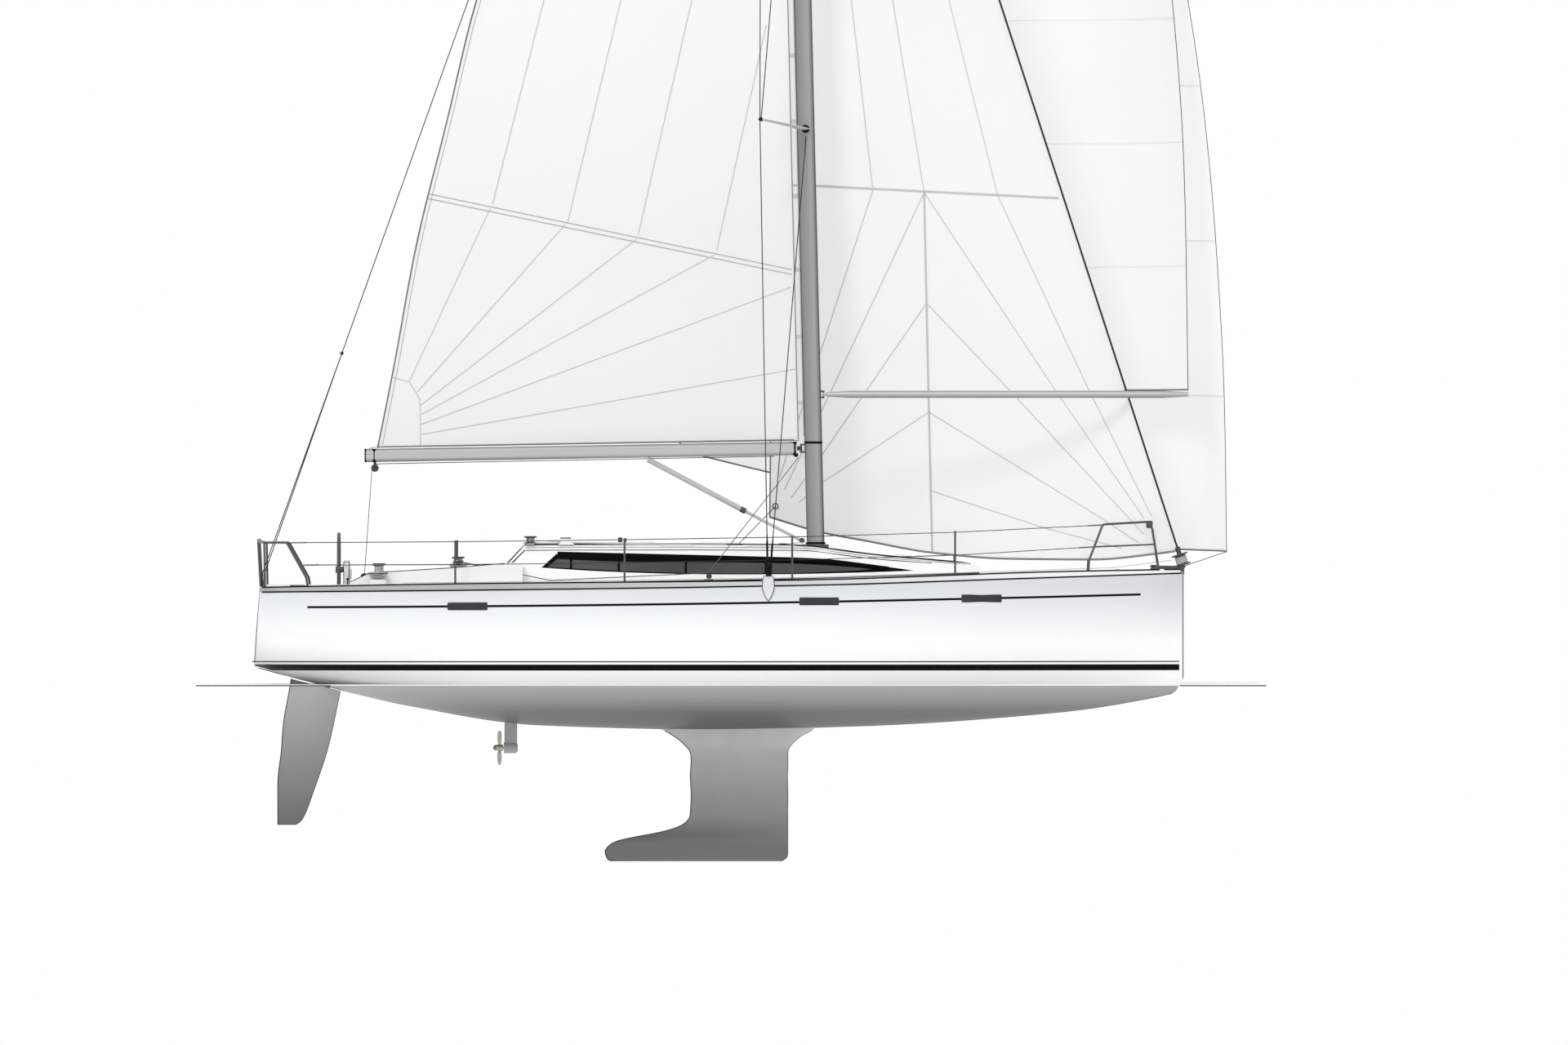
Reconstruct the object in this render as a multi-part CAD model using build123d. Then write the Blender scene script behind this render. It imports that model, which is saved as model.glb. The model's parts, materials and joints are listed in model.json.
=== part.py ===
from build123d import *
import math
import os

# Sailing yacht: a cruiser-racer sloop afloat with its sails set.
# Frame: X forward, Y to port, Z up, origin at the centre of the waterline plane. Millimetres.

# ---- Driving dimensions: hull ----
STEM_X = 5240
TRANSOM_FOOT = (-5980, 207)
TRANSOM_TOP = (-5901, 1179)
STERN_X = -6060                 # the form runs on to here and is cut back to the raked transom
RAIL_WIDTH = 36
DECK_EDGE = 14                  # deck thickness at its edge
DECK_CAMBER = 0.048             # crown of the deck over its half-breadth
BOND_GAP = 0.4                  # glue line between parts that sit on each other
ROOF_JOINT = 9                  # joint between the deck's edge and the foot of the coachroof

# ---- Driving dimensions: cabin and cockpit ----
ROOF_WALL = 40
GLASS_DEPTH = 12
BULKHEAD_X = -2740
CABIN_AFT_X = -2700
CABIN_FORE_X = 2250
SETTEE_Z = 150
CABIN_FLOOR_Z = -250
SETTEE_HALF_GAP = 420
COMPANION_HALF = 320
COMPANION_SILL_Z = 1000
SOLE_Z = 820
TUB_WALL = 40
COCKPIT_AFT_X = -5850
COCKPIT_HALF = 1330
BENCH_AFT_X = -4700
BENCH_TOP_Z = 1190
FOOTWELL_HALF = 330
COAMING_IN_Y = 1090
COAMING_OUT_Y = 1328
LID_GAP = 6                     # running clearance under and around lids

# ---- Driving dimensions: appendages ----
KEEL_ROOT_Z = -480
KEEL_BOTTOM_Z = -2136
KEEL_THICK = 170
BULB_THICK = 330
STOCK_FOOT = (-5100, 0, 0)      # a point on the rudder stock's axis
STOCK_RAKE = 0.225              # forward travel of the axis for each unit of height
STOCK_RADIUS = 35
STOCK_CLEARANCE = 1
RUDDER_THICK = 92
LEG_X = (-2972, -2803)
SHAFT_Z = -769
CASE_RADIUS = 66
CASE_NOSE = 40
PROPELLER_X = -3039
PROPELLER_RADIUS = 207

# ---- Driving dimensions: rig ----
MAST_BASE = (797, 1690)         # x and z of the mast's heel
MAST_RAKE = 0.0237              # aft travel for each unit of height
MAST_CHORD = 214
MAST_WIDTH = 130
MASTHEAD_Z = 17900
TAPER_Z = 13800
LOWER_SPREADER_Z = 6710
UPPER_SPREADER_Z = 11900
LOWER_TIP = (138, 1250, 6819)
UPPER_TIP = (150, 950, 11990)
CHAINPLATE = (217, 1858, 1312)
SHROUD_RADIUS = 6
FORESTAY_FOOT = (5181, 1608)
FORESTAY_SLOPE = 0.325
FORESTAY_TOP_Z = 15640
BACKSTAY_FOOT = (-5891, 1312)
BACKSTAY_SLOPE = 0.358
BRIDLE_Z = 4000
BRIDLE_HALF = 1250
GOOSENECK = (620, 2850)
BOOM_END_X = -4641
BOOM_DEPTH = 160
BOOM_WIDTH = 112
BOOM_SLOPE = 0.0165
POLE_Z = 3503
POLE_PIVOT_X = 888
POLE_LENGTH = 4413
POLE_YAW = -2.5                 # degrees to starboard of the centreline
POLE_RADIUS = 44
PIN_RADIUS = 9                  # gooseneck and pole pins, along their raked axes
PIN_BORE = 9.8
SAIL_THICK = 4
SKIN_TOLERANCE = 0.5
FOIL_POINTS = 12


# ---- Helpers ----
def through(points):
    """Smooth function through (position, value) points, with no overshoot between them."""
    at = [p[0] for p in points]
    value = [p[1] for p in points]
    secant = [(value[i + 1] - value[i]) / (at[i + 1] - at[i]) for i in range(len(at) - 1)]
    slope = [secant[0]]
    for left, right in zip(secant, secant[1:]):
        slope.append(0 if left * right <= 0 else 2 * left * right / (left + right))
    slope.append(secant[-1])

    def curve(x):
        x = min(max(x, at[0]), at[-1])
        i = max(j for j in range(len(at) - 1) if x >= at[j])
        step = at[i + 1] - at[i]
        t = (x - at[i]) / step
        rise = (2 * t ** 3 - 3 * t ** 2 + 1) * value[i] + (3 * t ** 2 - 2 * t ** 3) * value[i + 1]
        turn = (t ** 3 - 2 * t ** 2 + t) * slope[i] + (t ** 3 - t ** 2) * slope[i + 1]
        return rise + turn * step

    return curve


def box(x, y, z):
    """Box between two limits on each axis."""
    size = (x[1] - x[0], y[1] - y[0], z[1] - z[0])
    return Pos((x[0] + x[1]) / 2, (y[0] + y[1]) / 2, (z[0] + z[1]) / 2) * Box(*size)


def rod(start, end, radius, end_radius=None):
    """Round bar between two points, tapered when a second radius is given."""
    start, end = Vector(*start), Vector(*end)
    plane = Plane(origin=start, z_dir=end - start)
    length = (end - start).length
    if end_radius is None:
        return plane * Pos(0, 0, length / 2) * Cylinder(radius, length)
    return plane * Pos(0, 0, length / 2) * Cone(radius, end_radius, length)


def bent_tube(points, bend, radius):
    """Round tube along straight runs joined by bends."""
    path = FilletPolyline(*points, radius=bend)
    start = Plane(origin=path @ 0, z_dir=path % 0)
    return sweep(start * Circle(radius), path=path)


def side_prism(outline, half_width):
    """Outline in the side view, as corner points or edges, extruded across the boat."""
    edges = [Polyline(*outline, close=True)] if isinstance(outline[0], tuple) else outline
    return Plane.XZ * extrude(make_face(edges), amount=half_width, both=True)


def both_sides(shape):
    """The shape and its mirror image on the other side of the boat."""
    return [shape, mirror(shape, about=Plane.XZ)]


def mast_x(z):
    """Centre of the mast at a height."""
    return MAST_BASE[0] - MAST_RAKE * (z - MAST_BASE[1])


def forestay_x(z):
    return FORESTAY_FOOT[0] - FORESTAY_SLOPE * (z - FORESTAY_FOOT[1])


def pole_axis_x(z):
    """The pole and its sail turn about this raked line just ahead of the mast."""
    return POLE_PIVOT_X - MAST_RAKE * (z - POLE_Z)


def skin_over(rows):
    """Smooth surface through a grid of points."""
    grid = [[Vector(*p) for p in row] for row in rows]
    return Face.make_surface_from_array_of_points(grid, tol=SKIN_TOLERANCE, min_deg=3, max_deg=3)


def border(skin, start, end):
    """The surface's edge between two of its corners, in either direction."""
    def miss(edge, first, last):
        return (edge @ 0 - first).length + (edge @ 1 - last).length
    return min(skin.edges(), key=lambda edge: min(miss(edge, start, end), miss(edge, end, start)))


def skinned_form(sections):
    """Solid between a skin through section points and flat caps; every section ends at one height."""
    skin = skin_over(sections)
    corners = [Vector(*sections[i][j]) for i, j in ((0, 0), (0, -1), (-1, 0), (-1, -1))]
    aft, fore = border(skin, corners[0], corners[1]), border(skin, corners[2], corners[3])
    sides = [border(skin, corners[0], corners[2]), border(skin, corners[1], corners[3])]
    chords = [Edge.make_line(corners[0], corners[1]), Edge.make_line(corners[2], corners[3])]
    caps = [make_face([aft, chords[0]]), make_face([fore, chords[1]]), make_face([*sides, *chords])]
    return Solid(Shell([skin, *(cap.faces()[0] for cap in caps)])).fix()


def foil_solid(aft_edge, fore_edge, thickness, heights):
    """Symmetrical foil between two edge curves, closed at its lowest and highest section."""
    rows = []
    for z in heights:
        chord = fore_edge(z) - aft_edge(z)
        row = []
        for i in range(FOIL_POINTS + 1):
            s = (1 - math.cos(math.pi * i / FOIL_POINTS)) / 2      # 0 at the leading edge
            shape = 2.969 * math.sqrt(s) - 1.26 * s - 3.516 * s ** 2 + 2.843 * s ** 3 - 1.036 * s ** 4
            row.append((fore_edge(z) - chord * s, thickness(z) / 2 * shape, z))
        rows.append(row)
    port = skin_over(rows)
    starboard = mirror(port, about=Plane.XZ)
    caps = []
    for row in (rows[0], rows[-1]):
        ends = [Vector(*row[0]), Vector(*row[-1])]
        caps.append(make_face([border(port, *ends), border(starboard, *ends)]).faces()[0])
    return Solid(Shell([port, starboard, *caps])).fix()


NODES = {}


def keep(name, *shapes):
    """Store one node made of one or more solids that don't touch."""
    solids = [solid for shape in shapes for solid in shape.solids()]
    NODES[name] = Compound(label=name, children=solids)


# ---- Hull form ----
sheer = through([(STERN_X, 1113), (-3140, 1140), (810, 1199), (3280, 1278), (STEM_X, 1342)])
bottom = through([(STERN_X, 227), (-5190, -5), (-4125, -257), (-2550, -493), (-400, -545), (1400, -503),
                  (3770, -336), (4950, -148), (5120, -105), (STEM_X, 79)])
breadth = through([(STERN_X, 1490), (-5000, 1640), (-3000, 1810), (-1000, 1875), (1000, 1795), (2500, 1490),
                   (3100, 1275), (4000, 880), (4900, 355), (STEM_X, 18)])
bilge = through([(STERN_X, 3.0), (-3000, 2.2), (0, 2.0), (3000, 1.75), (STEM_X, 1.3)])
flare = through([(STERN_X, 3.2), (0, 3.0), (3000, 2.5), (STEM_X, 1.6)])
rail_height = through([(STERN_X, 64), (-3138, 88), (810, 74), (3276, 79), (STEM_X, 54)])
HULL_STATIONS = [STERN_X + 420 * i for i in range(26)] + [4650, 4820, 4960, 5060, 5130, 5180, 5215, STEM_X]
DECK_FORE_X = 5205
FORM_TOP_Z = 1700               # the hull form runs on upright above the sheer, and is cut back to it


def hull_half(x, z):
    """Half-breadth of the hull at a height."""
    t = min(max((z - bottom(x)) / (sheer(x) - bottom(x)), 0), 1)
    return breadth(x) * (1 - (1 - t) ** flare(x)) ** (1 / bilge(x))


def deck_half(x):
    return breadth(x) - RAIL_WIDTH - BOND_GAP


def deck_z(x, y=0):
    """Top of the deck."""
    crown = DECK_CAMBER * breadth(x) * (1 - (y / deck_half(x)) ** 2)
    return sheer(x) + DECK_EDGE + crown


def hull_section(x):
    """Points of one section, from the starboard top round the keel line to the port top."""
    side = []
    for i in range(11):
        z = bottom(x) + (sheer(x) - bottom(x)) * (i / 10) ** 2
        side.append((x, hull_half(x, z), z))
    side += [(x, breadth(x), (sheer(x) + FORM_TOP_Z) / 2), (x, breadth(x), FORM_TOP_Z)]
    return [(x, -y, z) for x, y, z in reversed(side[1:])] + side


def sheer_prism(lift, far_z):
    """Everything between the sheer line, lifted by lift(x), and a level."""
    line = Spline(*[(x, sheer(x) + lift(x)) for x in range(-6200, 5401, 400)])
    start, end = line @ 0, line @ 1
    far = Polyline((start.X, start.Y), (start.X, far_z), (end.X, far_z), (end.X, end.Y))
    return side_prism([line, far], 2500)


def plan_prism(half, x_range, z_range, count=24):
    """Upright prism with a half-width that follows a curve along the boat."""
    xs = [x_range[0] + (x_range[1] - x_range[0]) * i / count for i in range(count + 1)]
    port = Spline(*[(x, half(x)) for x in xs])
    starboard = Spline(*[(x, -half(x)) for x in xs])
    ends = [Line(port @ 0, starboard @ 0), Line(port @ 1, starboard @ 1)]
    face = make_face([port, starboard, *ends])
    return Pos(0, 0, z_range[0]) * extrude(face, amount=z_range[1] - z_range[0])


def deck_slab(depth):
    """Slab under the crowned deck surface, a little wider than the deck."""
    rows = []
    for i in range(29):
        x = -6100 + (DECK_FORE_X + 6100) * i / 28
        rows.append([(x, deck_half(x) * j / 6, deck_z(x, deck_half(x) * j / 6)) for j in range(-7, 8)])
    return extrude(skin_over(rows), amount=depth, dir=(0, 0, -1))


def transom_x(z):
    lean = (TRANSOM_TOP[0] - TRANSOM_FOOT[0]) / (TRANSOM_TOP[1] - TRANSOM_FOOT[1])
    return TRANSOM_FOOT[0] + lean * (z - TRANSOM_FOOT[1])


def transom_cutter():
    """Everything aft of the raked transom."""
    low, high = -600, 2200
    return side_prism([(-7000, low), (transom_x(low), low), (transom_x(high), high), (-7000, high)], 2500)


# ---- Coachroof form ----
ROOF_AFT_X, ROOF_FORE_X = -2990, 2780
roof_top = through([(ROOF_AFT_X, 1680), (-2151, 1688), (-700, 1690), (650, 1675), (930, 1640), (1535, 1559),
                    (2088, 1510), (2591, 1464), (ROOF_FORE_X, 1400)])
roof_half = through([(ROOF_AFT_X, 1085), (-1500, 1085), (0, 1035), (1000, 900), (1987, 640), (2591, 400),
                     (ROOF_FORE_X, 270)])
ROOF_BASE_Z = 1000
ROOF_SQUARENESS = 4             # exponent of the superellipse that the cabin's cross-section follows
ROOF_LEAN = 0.12                # how far the sides lean in, as a share of the half-width
WINDOW_OUTLINE = [(-2513, 1409), (-2333, 1575), (-178, 1523), (809, 1493), (1987, 1372), (809, 1336),
                  (-1559, 1354)]
PANE_MULLIONS = (-2155, -1580, -770, 195)


def roof_section(x, inset):
    """Cross-section of the coachroof: upright foot, leaning side, rounded shoulder and crowned top."""
    half = roof_half(x) - inset
    foot = deck_z(x, roof_half(x))
    height = roof_top(x) - inset - foot
    across = [(x, half, ROOF_BASE_Z), (x, half, (ROOF_BASE_Z + foot) / 2)]
    for i in range(17):
        angle = math.pi * i / 16
        rise = math.sin(angle) ** (2 / ROOF_SQUARENESS)
        reach = math.copysign(abs(math.cos(angle)) ** (2 / ROOF_SQUARENESS), math.cos(angle))
        across.append((x, half * reach * (1 - ROOF_LEAN * rise), foot + height * rise))
    return across + [(x, -half, (ROOF_BASE_Z + foot) / 2), (x, -half, ROOF_BASE_Z)]


def roof_form(inset=0, x_range=(ROOF_AFT_X, ROOF_FORE_X)):
    xs = [x_range[0] + (x_range[1] - x_range[0]) * i / 20 for i in range(21)]
    return skinned_form([roof_section(x, inset) for x in xs])


def roof_z(x, y=0):
    """Top of the coachroof."""
    foot = deck_z(x, roof_half(x))
    height = roof_top(x) - foot
    reach = min(abs(y) / (roof_half(x) * (1 - ROOF_LEAN)), 1)
    return foot + height * (1 - reach ** ROOF_SQUARENESS) ** (1 / ROOF_SQUARENESS)


# ---- Sails ----
def sheet(point, across, up):
    """Thin closed sheet; point(u, v) runs from luff to leech in u and from foot to head in v."""
    rows = [[point(i / across, j / up) for i in range(across + 1)] for j in range(up + 1)]
    return Solid.thicken(skin_over(rows), SAIL_THICK)


def belly(u, fullest=0.42):
    """Camber along a chord: 0 at both ends and 1 at its fullest point."""
    return math.sin(math.pi * u ** (math.log(0.5) / math.log(fullest)))


MAIN_TACK_Z, MAIN_HEAD_Z, MAIN_HEAD_WIDTH = 2948, 17650, 150
LUFF_GAP = 65                   # from the mast's aft face to the luff
main_leech = through([(2862, -4500), (3829, -4308), (5309, -4036), (6789, -3671), (8269, -3311),
                      (13000, -1590), (MAIN_HEAD_Z, 114)])
main_twist = through([(2862, 0), (6000, 240), (10000, 350), (14000, 260), (MAIN_HEAD_Z, 90)])
main_camber = through([(2862, 0.03), (5000, 0.055), (10000, 0.06), (MAIN_HEAD_Z, 0.04)])
mast_half_chord = through([(MAST_BASE[1], MAST_CHORD / 2), (TAPER_Z, MAST_CHORD / 2),
                           (MASTHEAD_Z, MAST_CHORD * 0.35)])


def mast_half_width(z):
    return mast_half_chord(z) * MAST_WIDTH / MAST_CHORD


def mainsail_point(u, v):
    foot_z = MAIN_TACK_Z + (2862 - MAIN_TACK_Z) * u
    z = foot_z + (MAIN_HEAD_Z - foot_z) * v
    luff = mast_x(z) - mast_half_chord(z) - LUFF_GAP
    chord = luff - main_leech(z)
    y = main_twist(z) * u ** 1.4 + main_camber(z) * chord * belly(u)
    return (luff - chord * u, y, z)


JIB_HEAD_Z = 15250
jib_leech = through([(2013, 237), (4322, 266), (6296, 311), (8269, 355), (12000, 440), (JIB_HEAD_Z, 640)])
jib_foot = through([(0, 1602), (0.05, 1569), (0.21, 1498), (0.42, 1508), (0.6, 1581), (0.76, 1724),
                    (0.87, 1827), (1, 2013)])
jib_sheeting = through([(1500, 0.352), (4000, 0.347), (6710, 0.346), (8269, 0.42), (12000, 0.45),
                        (JIB_HEAD_Z, 0.45)])
jib_camber = through([(1500, 0.07), (4000, 0.09), (10000, 0.09), (JIB_HEAD_Z, 0.05)])


def jib_point(u, v):
    z = jib_foot(u) + (JIB_HEAD_Z - jib_foot(u)) * v
    luff = forestay_x(z) - 22
    chord = luff - jib_leech(z)
    y = chord * (jib_sheeting(z) * u + jib_camber(z) * belly(u, 0.4))
    return (luff - chord * u, y, z)


SPINNAKER_FOOT_Z, SPINNAKER_HEAD_Z = 3556, 16050
SPINNAKER_SWEEP = 100           # degrees round the mast from luff to leech
SPINNAKER_DRAW_IN = 0.19        # how much nearer to the mast the leech is than the luff
spinnaker_luff = through([(SPINNAKER_FOOT_Z, 5299), (5931, 5260), (8269, 5107), (11200, 4450), (13800, 3050),
                          (15400, 1500), (SPINNAKER_HEAD_Z, 730)])


def round_mast(x, degrees, draw_in, s, z):
    """Point on a sail that wraps round the mast, at share s of its sweep."""
    radius = (x - pole_axis_x(z)) * (1 - draw_in * s ** 2)
    angle = math.radians(degrees)
    return (pole_axis_x(z) + radius * math.cos(angle), radius * math.sin(angle), z)


def spinnaker_point(u, v):
    z = SPINNAKER_FOOT_Z + (SPINNAKER_HEAD_Z - SPINNAKER_FOOT_Z) * v
    return round_mast(spinnaker_luff(z), POLE_YAW + SPINNAKER_SWEEP * u, SPINNAKER_DRAW_IN, u, z)


GENNAKER_HEAD_Z = 17250
GENNAKER_SWEEP = 113
GENNAKER_DRAW_IN = 0.07
gennaker_luff = through([(1599, 5763), (3335, 5738), (5309, 5635), (6789, 5502), (8269, 5294), (11200, 4640),
                         (14200, 3150), (16300, 1350), (GENNAKER_HEAD_Z, 690)])
gennaker_foot = through([(0, 1599), (0.25, 1625), (0.5, 1800), (0.86, 2536), (1, 2830)])


def gennaker_point(u, v):
    z = gennaker_foot(u) + (GENNAKER_HEAD_Z - gennaker_foot(u)) * v
    return round_mast(gennaker_luff(z), GENNAKER_SWEEP * u, GENNAKER_DRAW_IN, u, z)


# ---- Hull, deck and cabin ----
hull_form = skinned_form([hull_section(x) for x in HULL_STATIONS]) - transom_cutter()
roof_outer = roof_form()
HATCH_SLOT_X = (BULKHEAD_X - 1, -1990)
SALOON_HATCH_X = (-600, -140)
HATCH_HALF = 230
HATCH_OPENING = 200
HATCH_RIM = 10                  # height of a hatch's frame over the roof's crown
FORE_HATCH_X = 1990
FORE_HATCH_PITCH = 5.1
LOCKER_X, LOCKER_Y = (-4350, -3250), (400, 850)
ANCHOR_X, ANCHOR_HALF = (4380, 4820), 200
PLATFORM_HALF = 795
PLATFORM_Z = (276, 1050)
PLATFORM_THICK = 48
PLATFORM_LIP = 25


def cabin_half(x):
    """The cabin's inside, a little inboard of the coachroof's walls."""
    return roof_half(x) - 60


def stock_point(z):
    return (STOCK_FOOT[0] + STOCK_RAKE * z, 0, z)


def fore_hatch_frame():
    """Local frame of the fore hatch, lying along the sloping roof."""
    return Pos(FORE_HATCH_X, 0, roof_z(FORE_HATCH_X)) * Rot(0, FORE_HATCH_PITCH, 0)


def hull():
    body = hull_form - sheer_prism(lambda x: 0, 2000)
    body -= plan_prism(cabin_half, (CABIN_AFT_X, CABIN_FORE_X), (SETTEE_Z, 1600))
    body -= box((CABIN_AFT_X, 1900), (-SETTEE_HALF_GAP, SETTEE_HALF_GAP), (CABIN_FLOOR_Z, SETTEE_Z + 10))
    body -= box((COCKPIT_AFT_X, BULKHEAD_X), (-COCKPIT_HALF, COCKPIT_HALF), (SOLE_Z - TUB_WALL, 1900))
    body -= box((BULKHEAD_X - 10, CABIN_AFT_X + 10), (-COMPANION_HALF, COMPANION_HALF),
                (COMPANION_SILL_Z, 1900))
    low, high, half, depth = PLATFORM_Z[0] - LID_GAP, 1500, PLATFORM_HALF + LID_GAP, PLATFORM_THICK + 7
    body -= side_prism([(-6200, low), (transom_x(low) + depth, low), (transom_x(high) + depth, high),
                        (-6200, high)], half)
    body -= box((-6200, COCKPIT_AFT_X + 10), (-half, half), (SOLE_Z, 1900))
    body -= box((ANCHOR_X[0] + 30, ANCHOR_X[1] - 30), (-150, 150), (900, 1900))
    body -= rod(stock_point(-250), stock_point(530), STOCK_RADIUS + STOCK_CLEARANCE)
    keep("hull", body)


def deck():
    plate = deck_slab(260) & plan_prism(lambda x: deck_half(x) - 2, (-6090, DECK_FORE_X - 5), (900, 1700))
    plate -= sheer_prism(lambda x: BOND_GAP, 0)
    plate -= transom_cutter()
    edge = COCKPIT_HALF + BOND_GAP
    plate -= box((COCKPIT_AFT_X - BOND_GAP, BULKHEAD_X + BOND_GAP), (-edge, edge), (900, 1900))
    gate = PLATFORM_HALF + LID_GAP
    plate -= box((-6200, COCKPIT_AFT_X + 10), (-gate, gate), (900, 1900))
    plate -= plan_prism(lambda x: roof_half(x) + ROOF_JOINT, (BULKHEAD_X - 5, ROOF_FORE_X + 3), (900, 1900))
    plate -= box((ANCHOR_X[0] + 30, ANCHOR_X[1] - 30), (-150, 150), (900, 1900))
    keep("deck", plate)


def toe_rail():
    rail = hull_form & sheer_prism(lambda x: BOND_GAP, 2000)
    rail -= sheer_prism(rail_height, 2100)
    rail -= plan_prism(lambda x: breadth(x) - RAIL_WIDTH, (-6200, DECK_FORE_X), (900, 1900))
    keep("toe_rail", rail)


def cockpit():
    x0, x1 = COCKPIT_AFT_X + BOND_GAP, BULKHEAD_X - BOND_GAP
    y_out = COCKPIT_HALF - BOND_GAP
    rim_z = 1205
    tub = box((x0, x1), (-y_out, y_out), (SOLE_Z - TUB_WALL + BOND_GAP, SOLE_Z))
    port = box((x0, x1), (y_out - TUB_WALL, y_out), (SOLE_Z - 5, rim_z))
    port += box((x0, x0 + TUB_WALL), (PLATFORM_HALF + LID_GAP, y_out), (SOLE_Z - 5, rim_z))
    port += box((BENCH_AFT_X, x1), (FOOTWELL_HALF, FOOTWELL_HALF + 30), (SOLE_Z - 5, BENCH_TOP_Z))
    port += box((BENCH_AFT_X, BENCH_AFT_X + 30), (FOOTWELL_HALF, y_out), (SOLE_Z - 5, BENCH_TOP_Z))
    port += box((BENCH_AFT_X, x1), (FOOTWELL_HALF, y_out), (BENCH_TOP_Z - 30, BENCH_TOP_Z))
    coaming = side_prism([(-4816, 1180), (-4816, 1233), (-4569, 1352), (-4346, 1360), (-3622, 1405),
                          (-2956, 1460), (x1, 1474), (x1, 1180)], 2000)
    port += coaming & box((-5000, x1), (COAMING_IN_Y, COAMING_OUT_Y), (1100, 1600))
    port -= box((LOCKER_X[0] + 20, LOCKER_X[1] - 20), (LOCKER_Y[0] + 20, LOCKER_Y[1] - 20), (1100, 1300))
    keep("cockpit", tub + port + mirror(port, about=Plane.XZ))


def window_edges():
    p = WINDOW_OUTLINE
    return [Line(p[0], p[1]), Spline(*p[1:5]), Spline(*p[4:], p[0])]


def pane_prism():
    """Cut-outs for the panes inside the window band."""
    p = [(-2440, 1417), (-2322, 1518), (-178, 1474), (809, 1447), (1500, 1390), (809, 1352), (-1559, 1372)]
    panes = side_prism([Line(p[0], p[1]), Spline(*p[1:5]), Spline(*p[4:], p[0])], 1500)
    for x in PANE_MULLIONS:
        panes -= box((x - 13, x + 13), (-1600, 1600), (1300, 1600))
    return panes


def coachroof():
    shell = roof_outer - sheer_prism(lambda x: BOND_GAP, 0)
    shell -= roof_form(ROOF_WALL, (CABIN_AFT_X, ROOF_FORE_X - ROOF_WALL))
    shell -= roof_form(ROOF_WALL, (ROOF_AFT_X - 20, BULKHEAD_X))
    shell -= side_prism([(-3300, 900), (-2956, 900), (-2956, 1460), (-2735, 1668), (-2735, 1900),
                         (-3300, 1900)], 1500)
    shell -= box((-3300, BULKHEAD_X), (-1200, 1200), (900, BENCH_TOP_Z + BOND_GAP))
    shell -= box((BULKHEAD_X - 10, CABIN_AFT_X + 10), (-COMPANION_HALF, COMPANION_HALF), (900, 1900))
    shell -= box(HATCH_SLOT_X, (-COMPANION_HALF, COMPANION_HALF), (1500, 1900))
    middle = sum(SALOON_HATCH_X) / 2
    opening = (-HATCH_OPENING, HATCH_OPENING)
    shell -= box((middle - HATCH_OPENING, middle + HATCH_OPENING), opening, (1500, 1900))
    shell -= fore_hatch_frame() * box(opening, opening, (-150, 100))
    shell -= side_prism(window_edges(), 1500)
    keep("coachroof", shell)
    panes = pane_prism()
    band = (roof_outer & side_prism(window_edges(), 1500)) - roof_form(30)
    keep("window_bands", band - panes)
    keep("window_panes", (roof_form(4) & panes) - roof_form(12))


def cabin_inside():
    keep("cabin_sole", box((-2000, 1880), (-SETTEE_HALF_GAP + 5, SETTEE_HALF_GAP - 5),
                           (CABIN_FLOOR_Z + BOND_GAP, CABIN_FLOOR_Z + 25)))
    keep("engine", box((-2690, -2040), (-240, 240), (CABIN_FLOOR_Z + BOND_GAP, 330)))


def hatches():
    frames = []
    middle = sum(SALOON_HATCH_X) / 2
    length = (SALOON_HATCH_X[1] - SALOON_HATCH_X[0]) / 2
    ring = box((-length, length), (-HATCH_HALF, HATCH_HALF), (-120, HATCH_RIM))
    ring -= box((-HATCH_OPENING, HATCH_OPENING), (-HATCH_OPENING, HATCH_OPENING), (-150, 40))
    low = HATCH_RIM + LID_GAP
    lid = box((-length, length), (-HATCH_HALF, HATCH_HALF), (low, low + 14))
    lid = fillet(lid.edges().filter_by(Axis.Z), 35)
    frames.append(Pos(middle, 0, roof_z(middle)) * ring - roof_outer)
    frames.append(fore_hatch_frame() * ring - roof_outer)
    keep("hatch_frames", *frames)
    keep("saloon_hatch", Pos(middle, 0, roof_z(middle)) * lid)
    keep("fore_hatch", fore_hatch_frame() * lid)
    rail = box((-2732, -1150), (350, 374), (1600, 1717)) - roof_outer
    keep("hatch_runners", *both_sides(rail))
    keep("companionway_hatch", box((-2738, -1925), (-343, 343), (1697, 1712)))
    keep("washboard", box((-2730, -2710), (-COMPANION_HALF + 2, COMPANION_HALF - 2),
                          (COMPANION_SILL_Z + 1, 1690)))
    port = fillet(box(LOCKER_X, LOCKER_Y, (BENCH_TOP_Z + LID_GAP, BENCH_TOP_Z + LID_GAP + 24))
                  .edges().filter_by(Axis.Z), 40)
    keep("cockpit_locker_lid_port", port)
    keep("cockpit_locker_lid_starboard", mirror(port, about=Plane.XZ))
    keep("anchor_locker_lid", fillet(box(ANCHOR_X, (-ANCHOR_HALF, ANCHOR_HALF), (1369, 1387))
                                     .edges().filter_by(Axis.Z), 50))
    low, high = PLATFORM_Z
    lip_top = 425
    outline = [(transom_x(low) - PLATFORM_LIP, low), (transom_x(lip_top) - PLATFORM_LIP, lip_top),
               (transom_x(lip_top), lip_top + 20), (transom_x(high), high),
               (transom_x(high) + PLATFORM_THICK, high), (transom_x(low) + PLATFORM_THICK, low)]
    keep("transom_platform", side_prism(outline, PLATFORM_HALF))


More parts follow.
